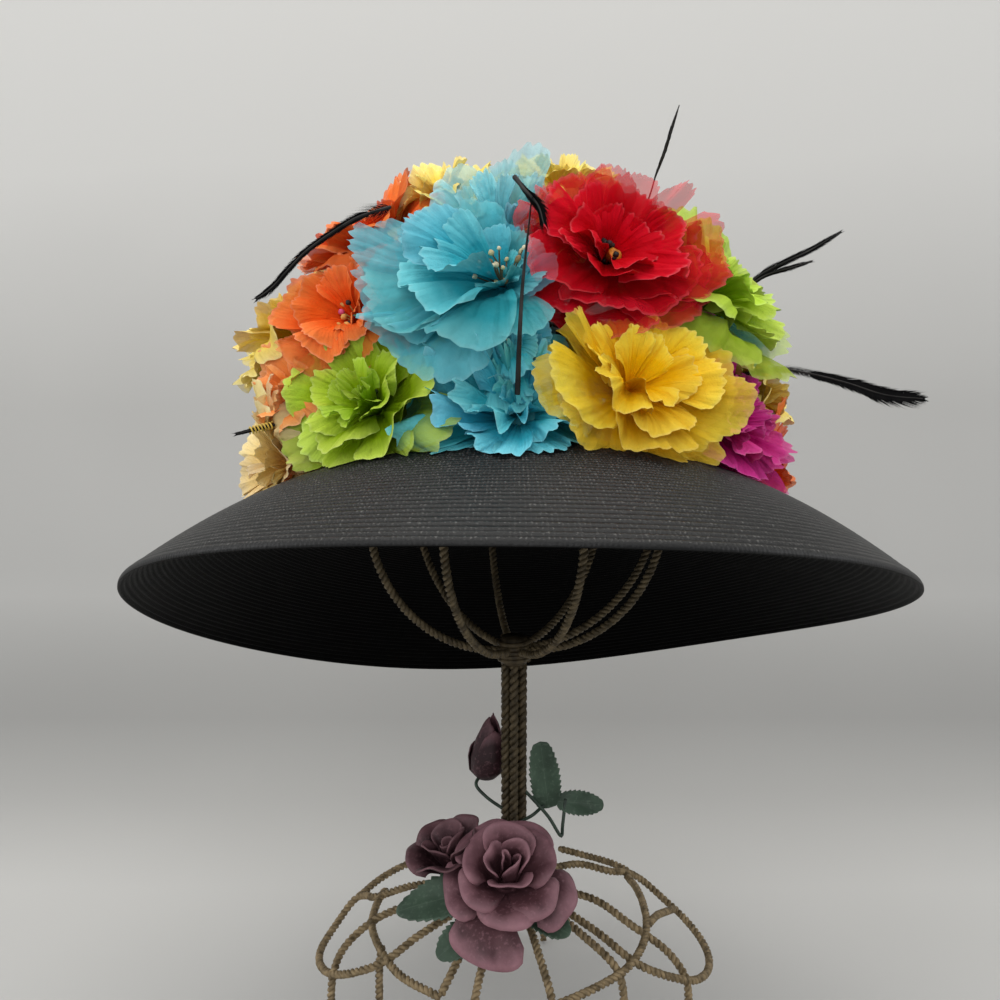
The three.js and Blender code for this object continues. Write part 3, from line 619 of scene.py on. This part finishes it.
def petal(build, turn, length, spread, slopes, ruffle, columns, start=0.0, collar=0.0, heart=(0, 0), lobes=8,
          tooth=0.035, folds=6, rows=10, tint=WHITE, finish=0):
    """One petal from the heart outwards: slopes in degrees at its root, middle and edge. s runs from its
    root to its edge and t across it."""
    s = np.linspace(0.05, 1, rows)[:, None]
    t = np.linspace(-1, 1, columns)[None, :]
    phase = RNG.uniform(0, math.tau, 5)
    bend = RNG.uniform(-1, 1)
    edge = 1 - CORNER * (1 - np.sqrt(1 - np.abs(t) ** 3)) + 0.04 * np.sin(2.6 * t + phase[0])
    notches = np.abs(np.sin(lobes * math.pi * (t + 0.1 * bend) / 2)) - 0.5
    edge = edge + tooth * notches * (1 + 0.5 * np.sin(5 * t + phase[1]))
    reach = 1 + (edge - 1) * s**1.6
    fine = np.linspace(0, 1, SLOPE_STEPS + 1)
    slope = np.radians(np.interp(fine, SLOPES_AT, slopes))
    out = np.concatenate([[0], np.cumsum(np.cos(slope[1:])) / SLOPE_STEPS])
    up = np.concatenate([[0], np.cumsum(np.sin(slope[1:])) / SLOPE_STEPS])
    radius = collar + length * np.interp(s, fine, out) * reach
    height = start + length * np.interp(s, fine, up) * reach
    wave = np.sin(math.pi * (1.6 + 0.4 * bend) * t + phase[1]) + 0.45 * np.sin(8 * t + phase[2] + 1.5 * s)
    push = ruffle * s**2.2 * wave
    pleats = np.sin(lobes * 2.1 * t + phase[3]) + 0.6 * np.sin(lobes * 3.4 * t + phase[4] + s)
    push = push + 0.16 * ruffle * s**1.3 * pleats
    for _ in range(folds):
        at, wide, deep = RNG.uniform(-0.9, 0.9), RNG.uniform(0.1, 0.22), RNG.uniform(0.01, 0.05)
        crease = np.exp(-(((t - at * (0.6 + 0.4 * s)) / wide) ** 2))
        push = push + RNG.choice((-1, 1)) * deep * s**1.2 * crease
    push = push * length
    here = np.radians(np.interp(s, SLOPES_AT, slopes))
    radius = radius - push * np.sin(here)
    height = height + push * np.cos(here)
    angle = turn + spread * t * (1 + 0.06 * np.sin(3 * s + phase[3])) + 0.12 * bend * s**2
    points = polar(radius, angle, height) + (*heart, 0)
    build.add(points, grid(rows, columns), pairs((t + 1) / 2, s), tint, finish)


def mass_reach(rise):
    """Distance from the middle of the crown's foot to the face of the mass of flowers."""
    across = abs(math.cos(rise) / FLOWER_HALF) ** FLOWER_POWER
    up = abs(math.sin(rise) / FLOWER_TOP) ** FLOWER_POWER
    return (across + up) ** (-1 / FLOWER_POWER)


def crown_reach(direction):
    """Distance from the middle of the crown's foot to the crown's surface, for each direction."""
    direction = np.asarray(direction, float)
    across = np.hypot(direction[..., 0] / CROWN_HALF[0], direction[..., 1] / CROWN_HALF[1]) ** CROWN_POWER
    up = np.abs(direction[..., 2] / CROWN_HEIGHT) ** CROWN_POWER
    return (across + up) ** (-1 / CROWN_POWER)


def outward(azimuth, rise):
    a, r = math.radians(azimuth), math.radians(rise)
    return np.array((math.cos(r) * math.sin(a), -math.cos(r) * math.cos(a), math.sin(r)))


def from_crown_foot(points):
    """Distance and direction of each point from the middle of the crown's foot."""
    away = points - CROWN_FOOT
    reach = np.maximum(np.linalg.norm(away, axis=1), 1e-6)
    return reach, away / reach[:, None]


AXES = {
    name: (outward(azimuth, rise), radius, order)
    for name, azimuth, rise, radius, _, _, order, *_ in FLOWERS
}


def part_from_neighbours(name, points):
    """Where two flowers meet, the higher order's petals rise over the lower order's, which are pressed in."""
    axis, radius, order = AXES[name]
    reach, direction = from_crown_foot(points)

    def share(centre, size):
        return np.arccos(np.clip(direction @ centre, -1, 1)) * reach / size

    own = share(axis, radius)
    over, under = np.zeros(len(points)), np.zeros(len(points))
    for other, (other_axis, other_radius, other_order) in AXES.items():
        if other == name or axis @ other_axis < 0.5:
            continue
        x = np.clip((own - share(other_axis, other_radius) + 0.45) / 0.9, 0, 1)
        x = x * x * (3 - 2 * x)
        if order > other_order:
            over = np.maximum(over, x)
        else:
            under = np.maximum(under, x)
    shift = LIFT_OVER * over * (1 - under) - PUSH_UNDER * under
    return CROWN_FOOT + direction * (reach + shift)[:, None]


def rest_on_hat(points):
    """Keeps petals outside the crown and lays them on top of the brim."""
    reach, direction = from_crown_foot(points)
    low = np.where(points[:, 2] > BRIM_RISE, crown_reach(direction) + OVER_CROWN, 0)
    points = CROWN_FOOT + direction * np.maximum(reach, low)[:, None]
    angle = np.arctan2(points[:, 1], points[:, 0])
    radius = np.hypot(points[:, 0], points[:, 1])
    inner, rim = brim_edges(angle)
    top = brim_top(angle, np.clip((radius - inner) / (rim - inner), 0, 1)) + OVER_BRIM
    above = points[:, 2] - top
    soft = 2.2
    settled = top + soft * np.log1p(np.exp(np.clip(above / soft, -30, 30)))
    points[:, 2] = np.where(above < 12, settled, points[:, 2])
    return points


def flower_frame(azimuth, rise, distance):
    """Right, up and out of the hat's side, at a distance from the middle of the crown's foot."""
    a = math.radians(azimuth)
    out = outward(azimuth, rise)
    right = np.array((math.cos(a), math.sin(a), 0))
    up = np.cross(out, right)
    at = CROWN_FOOT + out * distance
    return Matrix([[right[i], up[i], out[i], at[i]] for i in range(3)] + [[0, 0, 0, 1]])


def stamens(build, heart, count, length, colours):
    """Thin filaments with a bead at the end."""
    root = np.array((heart[0], heart[1], 1))
    for i in range(count):
        turn = 2.4 * i + RNG.uniform(-0.3, 0.3)
        lean = RNG.uniform(0.1, 0.7)
        reach = length * RNG.uniform(0.6, 1.1)
        way = (math.cos(turn) * math.sin(lean), math.sin(turn) * math.sin(lean), math.cos(lean))
        top = root + np.array(way) * reach
        middle = (root + top) / 2 + RNG.uniform(-1.2, 1.2, 3)
        tube(build, [root, middle, top], [0.5, 0.35], 4, 5, (*(0.5 * c for c in colours[1]), 1), TRIM)
        ball(build, top, RNG.uniform(1.0, 1.6), (*colours[i % len(colours)], 1), TRIM)


# The funnel's petals, its mouth as a share of the flower's radius, and half of a petal's width
FUNNEL_PETALS = 6
FUNNEL_MOUTH = 0.8
FUNNEL_SPREAD = math.radians(42)


def flower(name, azimuth, rise, radius, style, cloth, heart, tip, sink, stamen=()):
    """Layers of petals round the heart, and a funnel of petals behind them down to the crown."""
    look = STYLES[style]
    shape = look["shape"]
    face = mass_reach(math.radians(rise))
    seat = float(crown_reach(outward(azimuth, rise))) + 1
    depth = max(4, face - seat - sink * radius)
    lean = Matrix.Rotation(math.radians(tip[0]), 4, "X") @ Matrix.Rotation(math.radians(tip[1]), 4, "Y")
    place = flower_frame(azimuth, rise, seat + depth) @ lean
    build = Build()
    twist = RNG.uniform(0, math.tau)
    for layer, (count, share, spread, slopes, finish) in enumerate(look["layers"]):
        for i in range(count):
            turn = twist + math.tau * (i + 0.5 * (layer % 2)) / count + RNG.uniform(-0.16, 0.16)
            towards = heart[0] * math.cos(turn) + heart[1] * math.sin(turn)
            full = radius * share
            length = math.sqrt(max(towards**2 - heart[0] ** 2 - heart[1] ** 2 + full**2, 1)) - towards
            length *= RNG.uniform(0.9, 1.08)
            shade = RNG.uniform(0.84, 1.06)
            tint = (shade, shade * RNG.uniform(0.93, 1.05), shade * RNG.uniform(0.9, 1.06), 1)
            wander = RNG.uniform(-9, 9, 3) * np.array((0.6, 1, 1.8))
            petal(
                build, turn, length, math.radians(spread), np.array(slopes) + wander,
                start=0.7 * layer, heart=heart, tint=tint, finish=finish, **shape,
            )
    for turn, length, spread, slopes in LONG_PETALS.get(name, ()):
        petal(
            build, math.radians(turn), length, math.radians(spread), slopes,
            start=1, heart=heart, finish=SHEER, **shape,
        )
    if stamen:
        stamens(build, heart, *stamen)
    if name == "red":
        ball(build, (heart[0] + 2, heart[1] - 2, 11), 3.6, (0.78, 0.3, 0.02, 1), TRIM, 10, 16)
    stalk = [(0, 0, -depth - 1), (heart[0] / 2, heart[1] / 2, -depth / 2), (*heart, 2)]
    tube(build, stalk, [5, 3], 6, 7, finish=BODY)
    mouth = FUNNEL_MOUTH * radius
    steep = math.degrees(math.atan2(depth, mouth))
    for i in range(FUNNEL_PETALS):
        petal(
            build, twist + math.tau * i / FUNNEL_PETALS, math.hypot(depth, mouth), FUNNEL_SPREAD,
            (steep + 6, steep, steep - 24), 0.05, 17, start=-depth, folds=3, rows=7, finish=BODY,
        )

    def settle(points):
        return rest_on_hat(part_from_neighbours(name, transform(points, place)))

    node = f"flower_{name}"
    build.make(node + "_petals", HAT, CLOTH[cloth], [node], move=settle)


# Each flower has its own seed, so that its draws don't depend on the others
for number, (name, azimuth, rise, radius, style, cloth, _, *rest) in enumerate(FLOWERS):
    RNG = np.random.default_rng(FIRST_SEED + number)
    flower(name, azimuth, rise, radius, style, cloth, *rest)


# Feathers
def feather(name, path, blade, density, lean, shaft=0.8, down=0.0, twin=()):
    """A shaft with a row of barbs on each side: blade gives their half width along it, down how far the
    loose barbs at its root reach, and twin a second shaft's path and blade."""
    build = Build()
    for points, half_widths in ((path, blade), twin) if twin else ((path, blade),):
        line = rounded(points, 1.0)
        tangent, normal, cross = transport(line)
        count = len(line)
        sweep(build, line[::2], np.linspace(shaft, 0.25, len(line[::2])), 6)
        widths = np.interp(np.linspace(0, 1, count), np.linspace(0, 1, len(half_widths)), half_widths)
        for i in range(int(density * count)):
            k = min(int((i + RNG.uniform(0, 1)) / density), count - 2)
            if widths[k] < 0.2:
                continue
            loose = max(0.0, 1 - k / (down * count)) if down else 0.0
            for side in (-1, 1):
                reach = widths[k] * RNG.uniform(0.85, 1.12) * (1 + loose * RNG.uniform(0, 1.4))
                forward = tangent[k] * reach * (lean * RNG.uniform(1.0, 1.9) - 0.6 * loose)
                curl = normal[k] * reach * RNG.uniform(-0.2, 0.2) * (1 + 2 * loose)
                root = line[k]
                middle = root + cross[k] * side * reach * 0.55 + forward * 0.4 + curl * 0.4
                tip = root + cross[k] * side * reach + forward * 1.3 + curl
                half = tangent[k] * (0.22 if loose > 0.1 else 0.8)
                quad = [root - half, root + half, middle + half * 0.8, middle - half * 0.8, tip]
                build.add(quad, [[0, 1, 2, 3], [3, 2, 4]], finish=1)
    build.make(name + "_barbs", HAT, [QUILL, FEATHER], [name], smooth=False)


feather(
    "feather_left_curved",
    [(-57, -134, 165.5), (-65, -137, 161), (-72.5, -136, 158.5), (-82, -132, 155), (-97, -125, 148),
     (-113.5, -115, 136), (-122.5, -108, 133.5)],
    [2.8, 2.1, 1.8, 1.8, 1.9, 1.9, 0.9], 4.0, lean=1.8, down=0.14,
)
feather(
    "quill_centre",
    [(-1, -142, 71), (0, -158, 91), (1.5, -164, 111.5), (4, -164, 134), (5.5, -160, 148.5), (6, -158, 152)],
    [0.1, 0.1, 0.3, 0.9, 2.0, 2.6], 4.0, lean=1.6, shaft=1.2,
    twin=([(-1, -152, 168.5), (3, -156, 160), (9, -158, 150), (11, -157, 142.5)], [0.6, 1.5, 2.6, 2.8, 1.2]),
)
feather(
    "quill_top_right",
    [(60, -76, 178), (70.5, -80, 206), (73, -82, 214), (76.5, -92, 221.5), (79.5, -100, 230),
     (82.5, -107, 238)],
    [0.1, 0.1, 0.2, 0.9, 1.0, 0.2], 3.0, lean=1.8, shaft=0.65,
)
feather(
    "feather_right_upper",
    [(108, -46, 152), (130, -55, 171), (141.5, -63, 174.5), (153.5, -68, 178.5), (168.5, -74, 185.5)],
    [0.4, 1.0, 1.8, 2.0, 1.8, 0.6], 3.0, lean=1.9,
    twin=(
        [(108, -46, 151), (130, -56, 169), (143, -66, 169.5), (153.5, -70, 171)],
        [0.4, 1.0, 1.7, 1.6, 0.5],
    ),
)
feather(
    "feather_right_large",
    [(112, -54, 114), (125, -58, 115.5), (139, -62, 114), (153, -66, 109), (166, -70, 103),
     (181, -74, 95.5), (199, -77, 92)],
    [1.0, 1.2, 1.8, 2.6, 3.6, 4.6, 4.2, 0.8], 4.0, lean=1.2, down=0.45,
)
BOUND_QUILL = [(-102, -90, 80), (-112, -95, 76), (-121.5, -99, 72), (-130, -101, 69)]
feather("quill_left_bound", BOUND_QUILL, [0.5, 0.8, 0.9, 1.0, 0.8], 3.0, lean=1.5)


def winding(path, start, end, pitch, radius, thread):
    """Thread wound round a path between two shares of its length."""
    step = 0.1
    line = rounded(path, step)
    _, normal, cross = transport(line)
    keep = slice(int(start * len(line)), int(end * len(line)))
    turn = (math.tau * step * np.arange(len(line)) / pitch)[:, None]
    centre = line + radius * (np.cos(turn) * normal + np.sin(turn) * cross)
    build = Build()
    sweep(build, centre[keep], thread, 5)
    build.make("quill_left_thread", HAT, THREAD)


winding(BOUND_QUILL, start=0.45, end=0.8, pitch=1.5, radius=1.6, thread=0.4)


# Twisted wire stand
def rope(build, path, phase, strand=1.3, apart=1.15, pitch=6.4, step=0.95, tint=WHITE):
    """Two strands twisted round each other along a path."""
    line = rounded(path, step)
    _, normal, cross = transport(line)
    run = np.concatenate([[0], np.cumsum(np.linalg.norm(np.diff(line, axis=0), axis=1))])[:, None]
    for half in (0, math.pi):
        turn = math.tau * run / pitch + half + phase
        centre = line + apart * (np.cos(turn) * normal + np.sin(turn) * cross)
        sweep(build, centre, strand, 6, tint)


def on_circle(radius, azimuth, height):
    a = math.radians(azimuth)
    return (radius * math.sin(a), -radius * math.cos(a), height)


# Painted shade: the cage inside the hat, the stem, its binding and the hub's rings are darkened as if under
# the hat; the base wires keep their own colour
CAGE_PAINTED_SHADE = (0.42, 0.43, 0.42, 1)
STEM_PAINTED_SHADE = (0.3, 0.3, 0.288, 1)
# Darker still: painted shade for the stem's core, seen in the gaps between its wires
CORE_PAINTED_SHADE = (0.12, 0.12, 0.12, 1)
CAGE_CENTRE, CAGE_RADIUS, CAGE_TOP = 330, 84, 104
CAGE_FOOT, CAGE_HEAD = -84, 83
CAGE_AZIMUTHS = (-66, -25, 23, 68, 102, 139, 190, 226)
for number, azimuth in enumerate(CAGE_AZIMUTHS, 1):
    path = []
    for turn in np.radians(np.linspace(CAGE_FOOT, CAGE_HEAD, 13)):
        tall = CAGE_RADIUS if turn < 0 else CAGE_TOP
        path.append(on_circle(CAGE_RADIUS * math.cos(turn), azimuth, CAGE_CENTRE + tall * math.sin(turn)))
    build = Build()
    rope(build, path, azimuth, tint=CAGE_PAINTED_SHADE)
    build.make(f"cage_rib_{number}_strands", STAND, GOLD, [f"cage_rib_{number}"])

STEM_WIRES, STEM_REACH = 6, 5.5
STEM_HEIGHTS = (114, 176, 238)
build = Build()
for i in range(STEM_WIRES):
    x, y, _ = on_circle(STEM_REACH, 360 / STEM_WIRES * i, 0)
    wire = [(x, y, z) for z in STEM_HEIGHTS]
    rope(build, wire, 0.9 * i, strand=1.5, apart=1.3, pitch=9, tint=STEM_PAINTED_SHADE)
tube(build, [(0, 0, z) for z in STEM_HEIGHTS], 4.2, 20, 12, CORE_PAINTED_SHADE)
build.make("stem_strands", STAND, GOLD, ["stem"])

COIL_REACH, COIL_TURNS, COIL_FOOT, COIL_RISE = 8.2, 5.4, 239.6, 12.6
build = Build()
turns = np.linspace(0, math.tau * COIL_TURNS, 180)
sweep(build, polar(COIL_REACH, turns, COIL_FOOT + COIL_RISE * turns / turns[-1]), 1.4, 7, STEM_PAINTED_SHADE)
# A dark core under the binding's coil: painted shade between its turns
tube(build, [(0, 0, 238.4), (0, 0, 246), (0, 0, 253.6)], 7.4, 4, 16, (0.2, 0.2, 0.2, 1))
build.make("stem_binding_coil", STAND, GOLD, ["stem_binding"])

DOME_FOOT, DOME_RISE, DOME_REACH, DOME_POWER = 60, 44, 115, 2.7


def base_height(radius):
    return DOME_FOOT + DOME_RISE * (1 - (radius / DOME_REACH) ** DOME_POWER)


# Each wire: azimuth in degrees, distance from the stem's axis and, where there is one, lift over the dome
HUB_REACH = 18
BASE_WIRES = [
    [(-55, HUB_REACH), (-54, 65), (-57, 86), (-69, 104), (-80, 112), (-91, 115), (-102, 112), (-110, 105, 4),
     (-109, 97, 2), (-104, 87), (-101, 60), (-99, HUB_REACH)],
    [(54, HUB_REACH), (50, 60), (53, 84), (66, 104), (75, 111), (86, 115), (96, 115), (105, 111), (114, 105),
     (121, 97, 2), (122, 86, 2), (120, 70), (128, 52), (133, HUB_REACH)],
    [(-15, HUB_REACH), (-15, 56), (-14, 88), (-11, 104), (-1, 113), (9, 104), (12.5, 88), (12, 56),
     (12, HUB_REACH)],
    [(160, HUB_REACH), (163, 60), (166, 90), (168, 108), (180, 115), (192, 108), (194, 90), (197, 60),
     (200, HUB_REACH)],
    [(-27, HUB_REACH), (-27, 55), (-27, 84)],
    [(-27, 86), (-46, 85), (-64, 83), (-81, 83), (-96, 82), (-107, 82)],
    [(13, 86), (29, 83), (46, 82), (62, 80), (77, 78), (92, 77), (107, 79), (121, 84)],
    [(123, 88, 3), (133, 87, 2), (147, 85), (157, 80)],
    [(-109.5, 103, 4), (-121, 98, 4), (-134, 94, 3), (-149, 90), (-166, 83)],
    [(108, 106), (99, 95), (88, 84), (78, 79)],
]
BASE_LEGS = [
    [(-83, HUB_REACH), (-83, 77), (-80, 98), (-73, 106), (-72, 108, -8)],
    [(80, HUB_REACH), (77, 48), (70, 70), (70, 92), (66.5, 103), (66, 105, -8)],
    [(41, HUB_REACH), (41, 56), (43, 78), (44, 82.5, -8)],
    [(-64, 82), (-64, 83.5, -10)],
    [(-1, 110), (-1, 113, -10)],
    [(168, 104), (168, 109, -10)],
    [(192, 104), (192, 109, -10)],
]
FOOT = 1.4
build = Build()
for number, wire in enumerate(BASE_WIRES + BASE_LEGS):
    path = [on_circle(p[1], p[0], base_height(p[1]) + (p[2] if len(p) > 2 else 0)) for p in wire]
    if number >= len(BASE_WIRES):
        path.append((path[-1][0], path[-1][1], FOOT))
    rope(build, path, number)

# Each ring of the hub: height and radius
HUB_RINGS = ((98.5, 19.5), (101.4, 20), (104.3, 19), (107.2, 17), (109.8, 13.5))
for height, radius in HUB_RINGS:
    ring = [on_circle(radius, a, height) for a in np.linspace(0, 360, 40)]
    rope(build, ring, height, strand=1.0, apart=0.9, pitch=8, step=1.5, tint=STEM_PAINTED_SHADE)
build.make("base_strands", STAND, GOLD, ["base_frame"])


# Metal roses and leaves
def thicken(obj, amount):
    modifier = obj.modifiers.new("thickness", "SOLIDIFY")
    modifier.thickness = amount / 1000
    modifier.offset = 0


def facing(point, direction):
    """A frame at a point, its z along a direction and its y as far up as it goes."""
    out = Vector(direction).normalized()
    right = Vector((0, 0, 1)).cross(out) if abs(out.z) < 0.99 else Vector((1, 0, 0))
    right = right.normalized()
    turned = Matrix((right, out.cross(right), out)).transposed().to_4x4()
    return Matrix.Translation(Vector(point)) @ turned


def rose(name, back, face, paint, petals, node):
    """petals: turn, length, half width, slopes, start height and collar radius of each."""
    build = Build()
    for turn, length, spread, slopes, start, collar in petals:
        petal(
            build, math.radians(turn), length, math.radians(spread), slopes, start=start, collar=collar,
            lobes=1, ruffle=0.035, tooth=0.0, folds=1, rows=14, columns=21,
        )
    ball(build, (0, 0, 4), 6.5, WHITE, rows=10, columns=14)
    obj = build.make(name, STAND @ facing(back, face), paint, [node])
    thicken(obj, 0.9)


rose(
    "rose_large_petals", (-4.5, -40, 124), (0.03, -0.52, 0.85), ROSE_PAINT,
    [
        (-118, 42, 34, (10, -10, -34), 0, 4), (-18, 36, 36, (14, 2, -40), 0.5, 4),
        (62, 33, 44, (34, 34, 10), 1, 4), (128, 33, 44, (34, 34, 8), 1, 4),
        (190, 33, 40, (22, 10, -24), 1, 4), (-100, 30, 44, (42, 30, -40), 2, 4),
        (-48, 31, 42, (44, 34, -40), 2.5, 4), (20, 32, 56, (56, 56, 10), 2, 4),
        (84, 34, 60, (60, 68, 40), 2, 4), (150, 32, 56, (56, 58, 0), 2, 4),
        (212, 30, 44, (50, 44, -30), 2, 4), (-80, 26, 62, (68, 72, 36), 4, 4),
        (40, 29, 70, (72, 84, 62), 4, 4), (160, 28, 66, (70, 82, 56), 4, 4),
        (-30, 24, 90, (82, 92, 90), 5, 5), (130, 25, 80, (84, 96, 84), 5, 3.4),
    ],
    "rose_large",
)
rose(
    "rose_left_petals", (-32, -22, 122), (-0.28, -0.14, 0.95), CUP_PAINT,
    [
        (-120, 30, 48, (50, 46, 4), 0, 3), (-40, 31, 48, (52, 52, 20), 0, 3),
        (35, 33, 50, (56, 64, 44), 0, 3), (110, 31, 48, (54, 60, 40), 0, 3),
        (180, 30, 46, (50, 48, 20), 0, 3), (-80, 26, 60, (66, 72, 60), 2, 3),
        (30, 28, 60, (68, 76, 66), 2, 3), (150, 27, 60, (66, 74, 60), 2, 3),
        (-20, 20, 80, (80, 86, 80), 3, 2.5), (140, 19, 70, (80, 88, 86), 3, 2.5),
    ],
    "rose_left",
)


BUD_PROFILE = ((0, 0.12, 0.35, 0.6, 0.85, 1), (0.5, 0.92, 0.98, 0.78, 0.4, 0.06))
# Each petal of the bud: turn, height as a share of the bud's, how far it stands off, and half of its wrap
BUD_PETALS = ((0.6, 1.0, 0.0, 1.9), (3.4, 0.95, 0.3, 1.8), (4.6, 0.78, 1.0, 1.1), (2.0, 0.5, 1.6, 1.2))


def bud(foot, tip, radius):
    """Pointed petals wrapped round each other, the outer two shorter and further out."""
    axis = Vector(tip) - Vector(foot)
    build = Build()
    rows, columns = 18, 17
    s = np.linspace(0, 1, rows)[:, None]
    t = np.linspace(-1, 1, columns)[None, :]
    for turn, tall, gap, wrap in BUD_PETALS:
        along = s * tall * (1 - 0.16 * np.abs(t) ** 1.6 + 0.03 * np.abs(np.sin(9 * t)))
        wide = radius * np.interp(along, *BUD_PROFILE) + gap * (0.4 + s)
        angle = turn + wrap * t * (1 - 0.3 * s) + 0.4 * s
        points = polar(wide, angle, axis.length * along)
        build.add(points, grid(rows, columns), pairs((t + 1) / 2, s))
    obj = build.make("rose_bud_petals", STAND @ facing(foot, axis), CUP_PAINT, ["rose_bud"])
    thicken(obj, 0.8)


bud((-16, 12, 165), (-12.5, 12, 203), 10)


def leaf(name, root, tip, half, face, bow=0.1, teeth=12, blunt=0.5):
    """A serrated leaf with a raised midrib and side veins; blunt squares off its ends."""
    root, tip = np.array(root, float), np.array(tip, float)
    length = np.linalg.norm(tip - root)
    x = (tip - root) / length
    z = np.array(face, float)
    z -= x * np.dot(z, x)
    z /= np.linalg.norm(z)
    y = np.cross(z, x)
    rows, columns = 6 * teeth + 1, 17
    s = np.linspace(0, 1, rows)[:, None]
    t = np.linspace(-1, 1, columns)[None, :]
    wide = half * np.sin(math.pi * s**0.85) ** blunt + 0.25
    tooth = 1 + 0.16 * (((s * teeth) % 1) - 0.5) * np.abs(t) ** 4
    across = wide * t * tooth
    side_veins = 0.1 * np.exp(-((((s * 6 - 1.4 * np.abs(t)) % 1 - 0.5) / 0.12) ** 2))
    veins = 0.35 * np.exp(-((t / 0.07) ** 2)) + side_veins
    height = 0.2 * np.abs(across) + bow * half * np.sin(math.pi * s) + veins
    height = height + 0.05 * half * np.sin(9 * s - 3 * np.abs(t))
    points = root + x * (length * s + 0 * t)[..., None] + y * across[..., None] + z * height[..., None]
    rubbed = np.maximum(np.maximum(np.abs(t) ** 3, np.abs(2 * s - 1) ** 6), np.exp(-((t / 0.09) ** 2)) * 0.9)
    build = Build()
    build.add(points, grid(rows, columns), pairs(s, rubbed))
    obj = build.make(name + "_blade", STAND, LEAF_PAINT, [name])
    thicken(obj, 0.8)


leaf("leaf_upright", (20, 0, 151), (15, 0, 191), 8.5, (0.15, -1, 0.1), blunt=0.28)
leaf("leaf_oval", (25, 0, 155), (52, 0, 152.5), 6.8, (-0.1, -0.9, 0.5), teeth=10, blunt=0.42)
leaf("leaf_left", (-12, -36, 123), (-64, -45, 112), 12, (0, -0.6, 0.8), blunt=0.55)
leaf("leaf_lower", (-20, -48, 107), (-41, -59, 94.5), 9, (-0.2, -0.8, 0.5), teeth=9)
leaf("leaf_right", (8, -42, 112), (29, -55, 105), 9, (0.2, -0.6, 0.7), teeth=9)

build = Build()
for points in (
    [(4, -5, 145), (11, -6, 149.5), (17.5, -0.5, 153)],
    [(5, -2, 164), (19.7, -7, 149), (27, -12, 139.5), (28, -7, 143), (30, 0, 156.5)],
    [(-5, -1, 150), (-16, 1.5, 157), (-22, 6, 162.5), (-20, 10, 165.5), (-16, 12, 167.5)],
):
    tube(build, points, 1.0, 1.2, 8)
build.make("sprigs", STAND, GREEN_WIRE)


# The CAD's own cap, which stays
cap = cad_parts["cage_cap"].data
cap.materials.clear()
cap.materials.append(plain_material("cap_gold", (0.07, 0.055, 0.03), (0.17, 0.13, 0.075), 160, 0.5, 0.3))


# Floor, light and camera
def backdrop():
    """A seamless sweep whose colour carries painted shade: darker towards the back of the floor, darkest
    where the floor turns up into the wall, and lighter up the wall.
    """
    front, back, bend, top, half = -1.6, 0.35, 0.35, 2.2, 2.2
    profile = [(front, 0), (back, 0)]
    for a in np.linspace(0, math.pi / 2, 25)[1:]:
        profile.append((back + bend * math.sin(a), bend - bend * math.cos(a)))
    profile.append((back + bend, top))
    points = [(x, y, z) for y, z in profile for x in (-half, half)]
    mesh = bpy.data.meshes.new("backdrop")
    mesh.from_pydata(points, [], grid(len(profile), 2).tolist())
    mesh.polygons.foreach_set("use_smooth", [True] * len(mesh.polygons))
    obj = add_object("backdrop", mesh)
    material, tree, shader = node_material("backdrop", 0.2)
    split = tree.nodes.new("ShaderNodeSeparateXYZ")
    tree.links.new(tree.nodes.new("ShaderNodeTexCoord").outputs["Object"], split.inputs[0])
    floor = ramp(tree, split.outputs["Y"], 0.2, 0.62, 0.87, 0.34)
    turn = ramp(tree, split.outputs["Z"], 0.03, 0.13, 0.0, 0.33)
    wall = ramp(tree, split.outputs["Z"], 0.16, 0.8, 0.0, 0.46)
    shade = plus(tree, floor, plus(tree, turn, wall))
    cloud = ramp(tree, noise(tree, 2.5, 2), 0.3, 0.7, 0.97, 1.03)
    colour = mix_colour(tree, times(tree, shade, cloud), (0, 0, 0), (0.6, 0.595, 0.575))
    tree.links.new(colour, shader.inputs["Base Color"])
    fill(shader, {"Roughness": 0.75})
    mesh.materials.append(material)


def area_light(name, place, target, size, power, colour=(1, 1, 1)):
    light = bpy.data.lights.new(name, "AREA")
    light.shape = "RECTANGLE"
    light.size, light.size_y = size
    light.energy = power
    light.color = colour
    obj = add_object(name, light)
    obj.location = place
    obj.rotation_euler = (Vector(target) - Vector(place)).to_track_quat("-Z", "Y").to_euler()


backdrop()
area_light("top", (0, -0.1, 1.5), (0, 0, 0.2), size=(1.8, 1.4), power=13, colour=(1, 0.985, 0.96))
area_light("front", (-0.2, -1.5, 1.1), (0, 0, 0.4), size=(1.6, 1.0), power=11)
area_light("left", (-1.4, -0.2, 0.9), (0, 0, 0.35), size=(1.0, 1.0), power=7)
area_light("right", (1.4, -0.2, 0.9), (0, 0, 0.35), size=(1.0, 1.0), power=6)
world = bpy.data.worlds.new("world")
bpy.context.scene.world = world
world.use_nodes = True
fill(world.node_tree.nodes["Background"], {"Color": (0.92, 0.95, 1.0, 1), "Strength": 0.3})
bpy.context.scene.view_settings.view_transform = "Standard"

# The camera's place is measured from the floor under the stem, and it looks down by some degrees
CAMERA_PLACE = Vector((-0.008, -0.55, 0.411))
CAMERA_DOWN = 8.2
camera_data = bpy.data.cameras.new("camera")
camera_data.lens = 36
camera_data.sensor_width = 36
camera = add_object("camera", camera_data)
camera.location = ORIGIN + CAMERA_PLACE
camera.rotation_euler = (math.radians(90 - CAMERA_DOWN), 0, 0)
bpy.context.scene.camera = camera
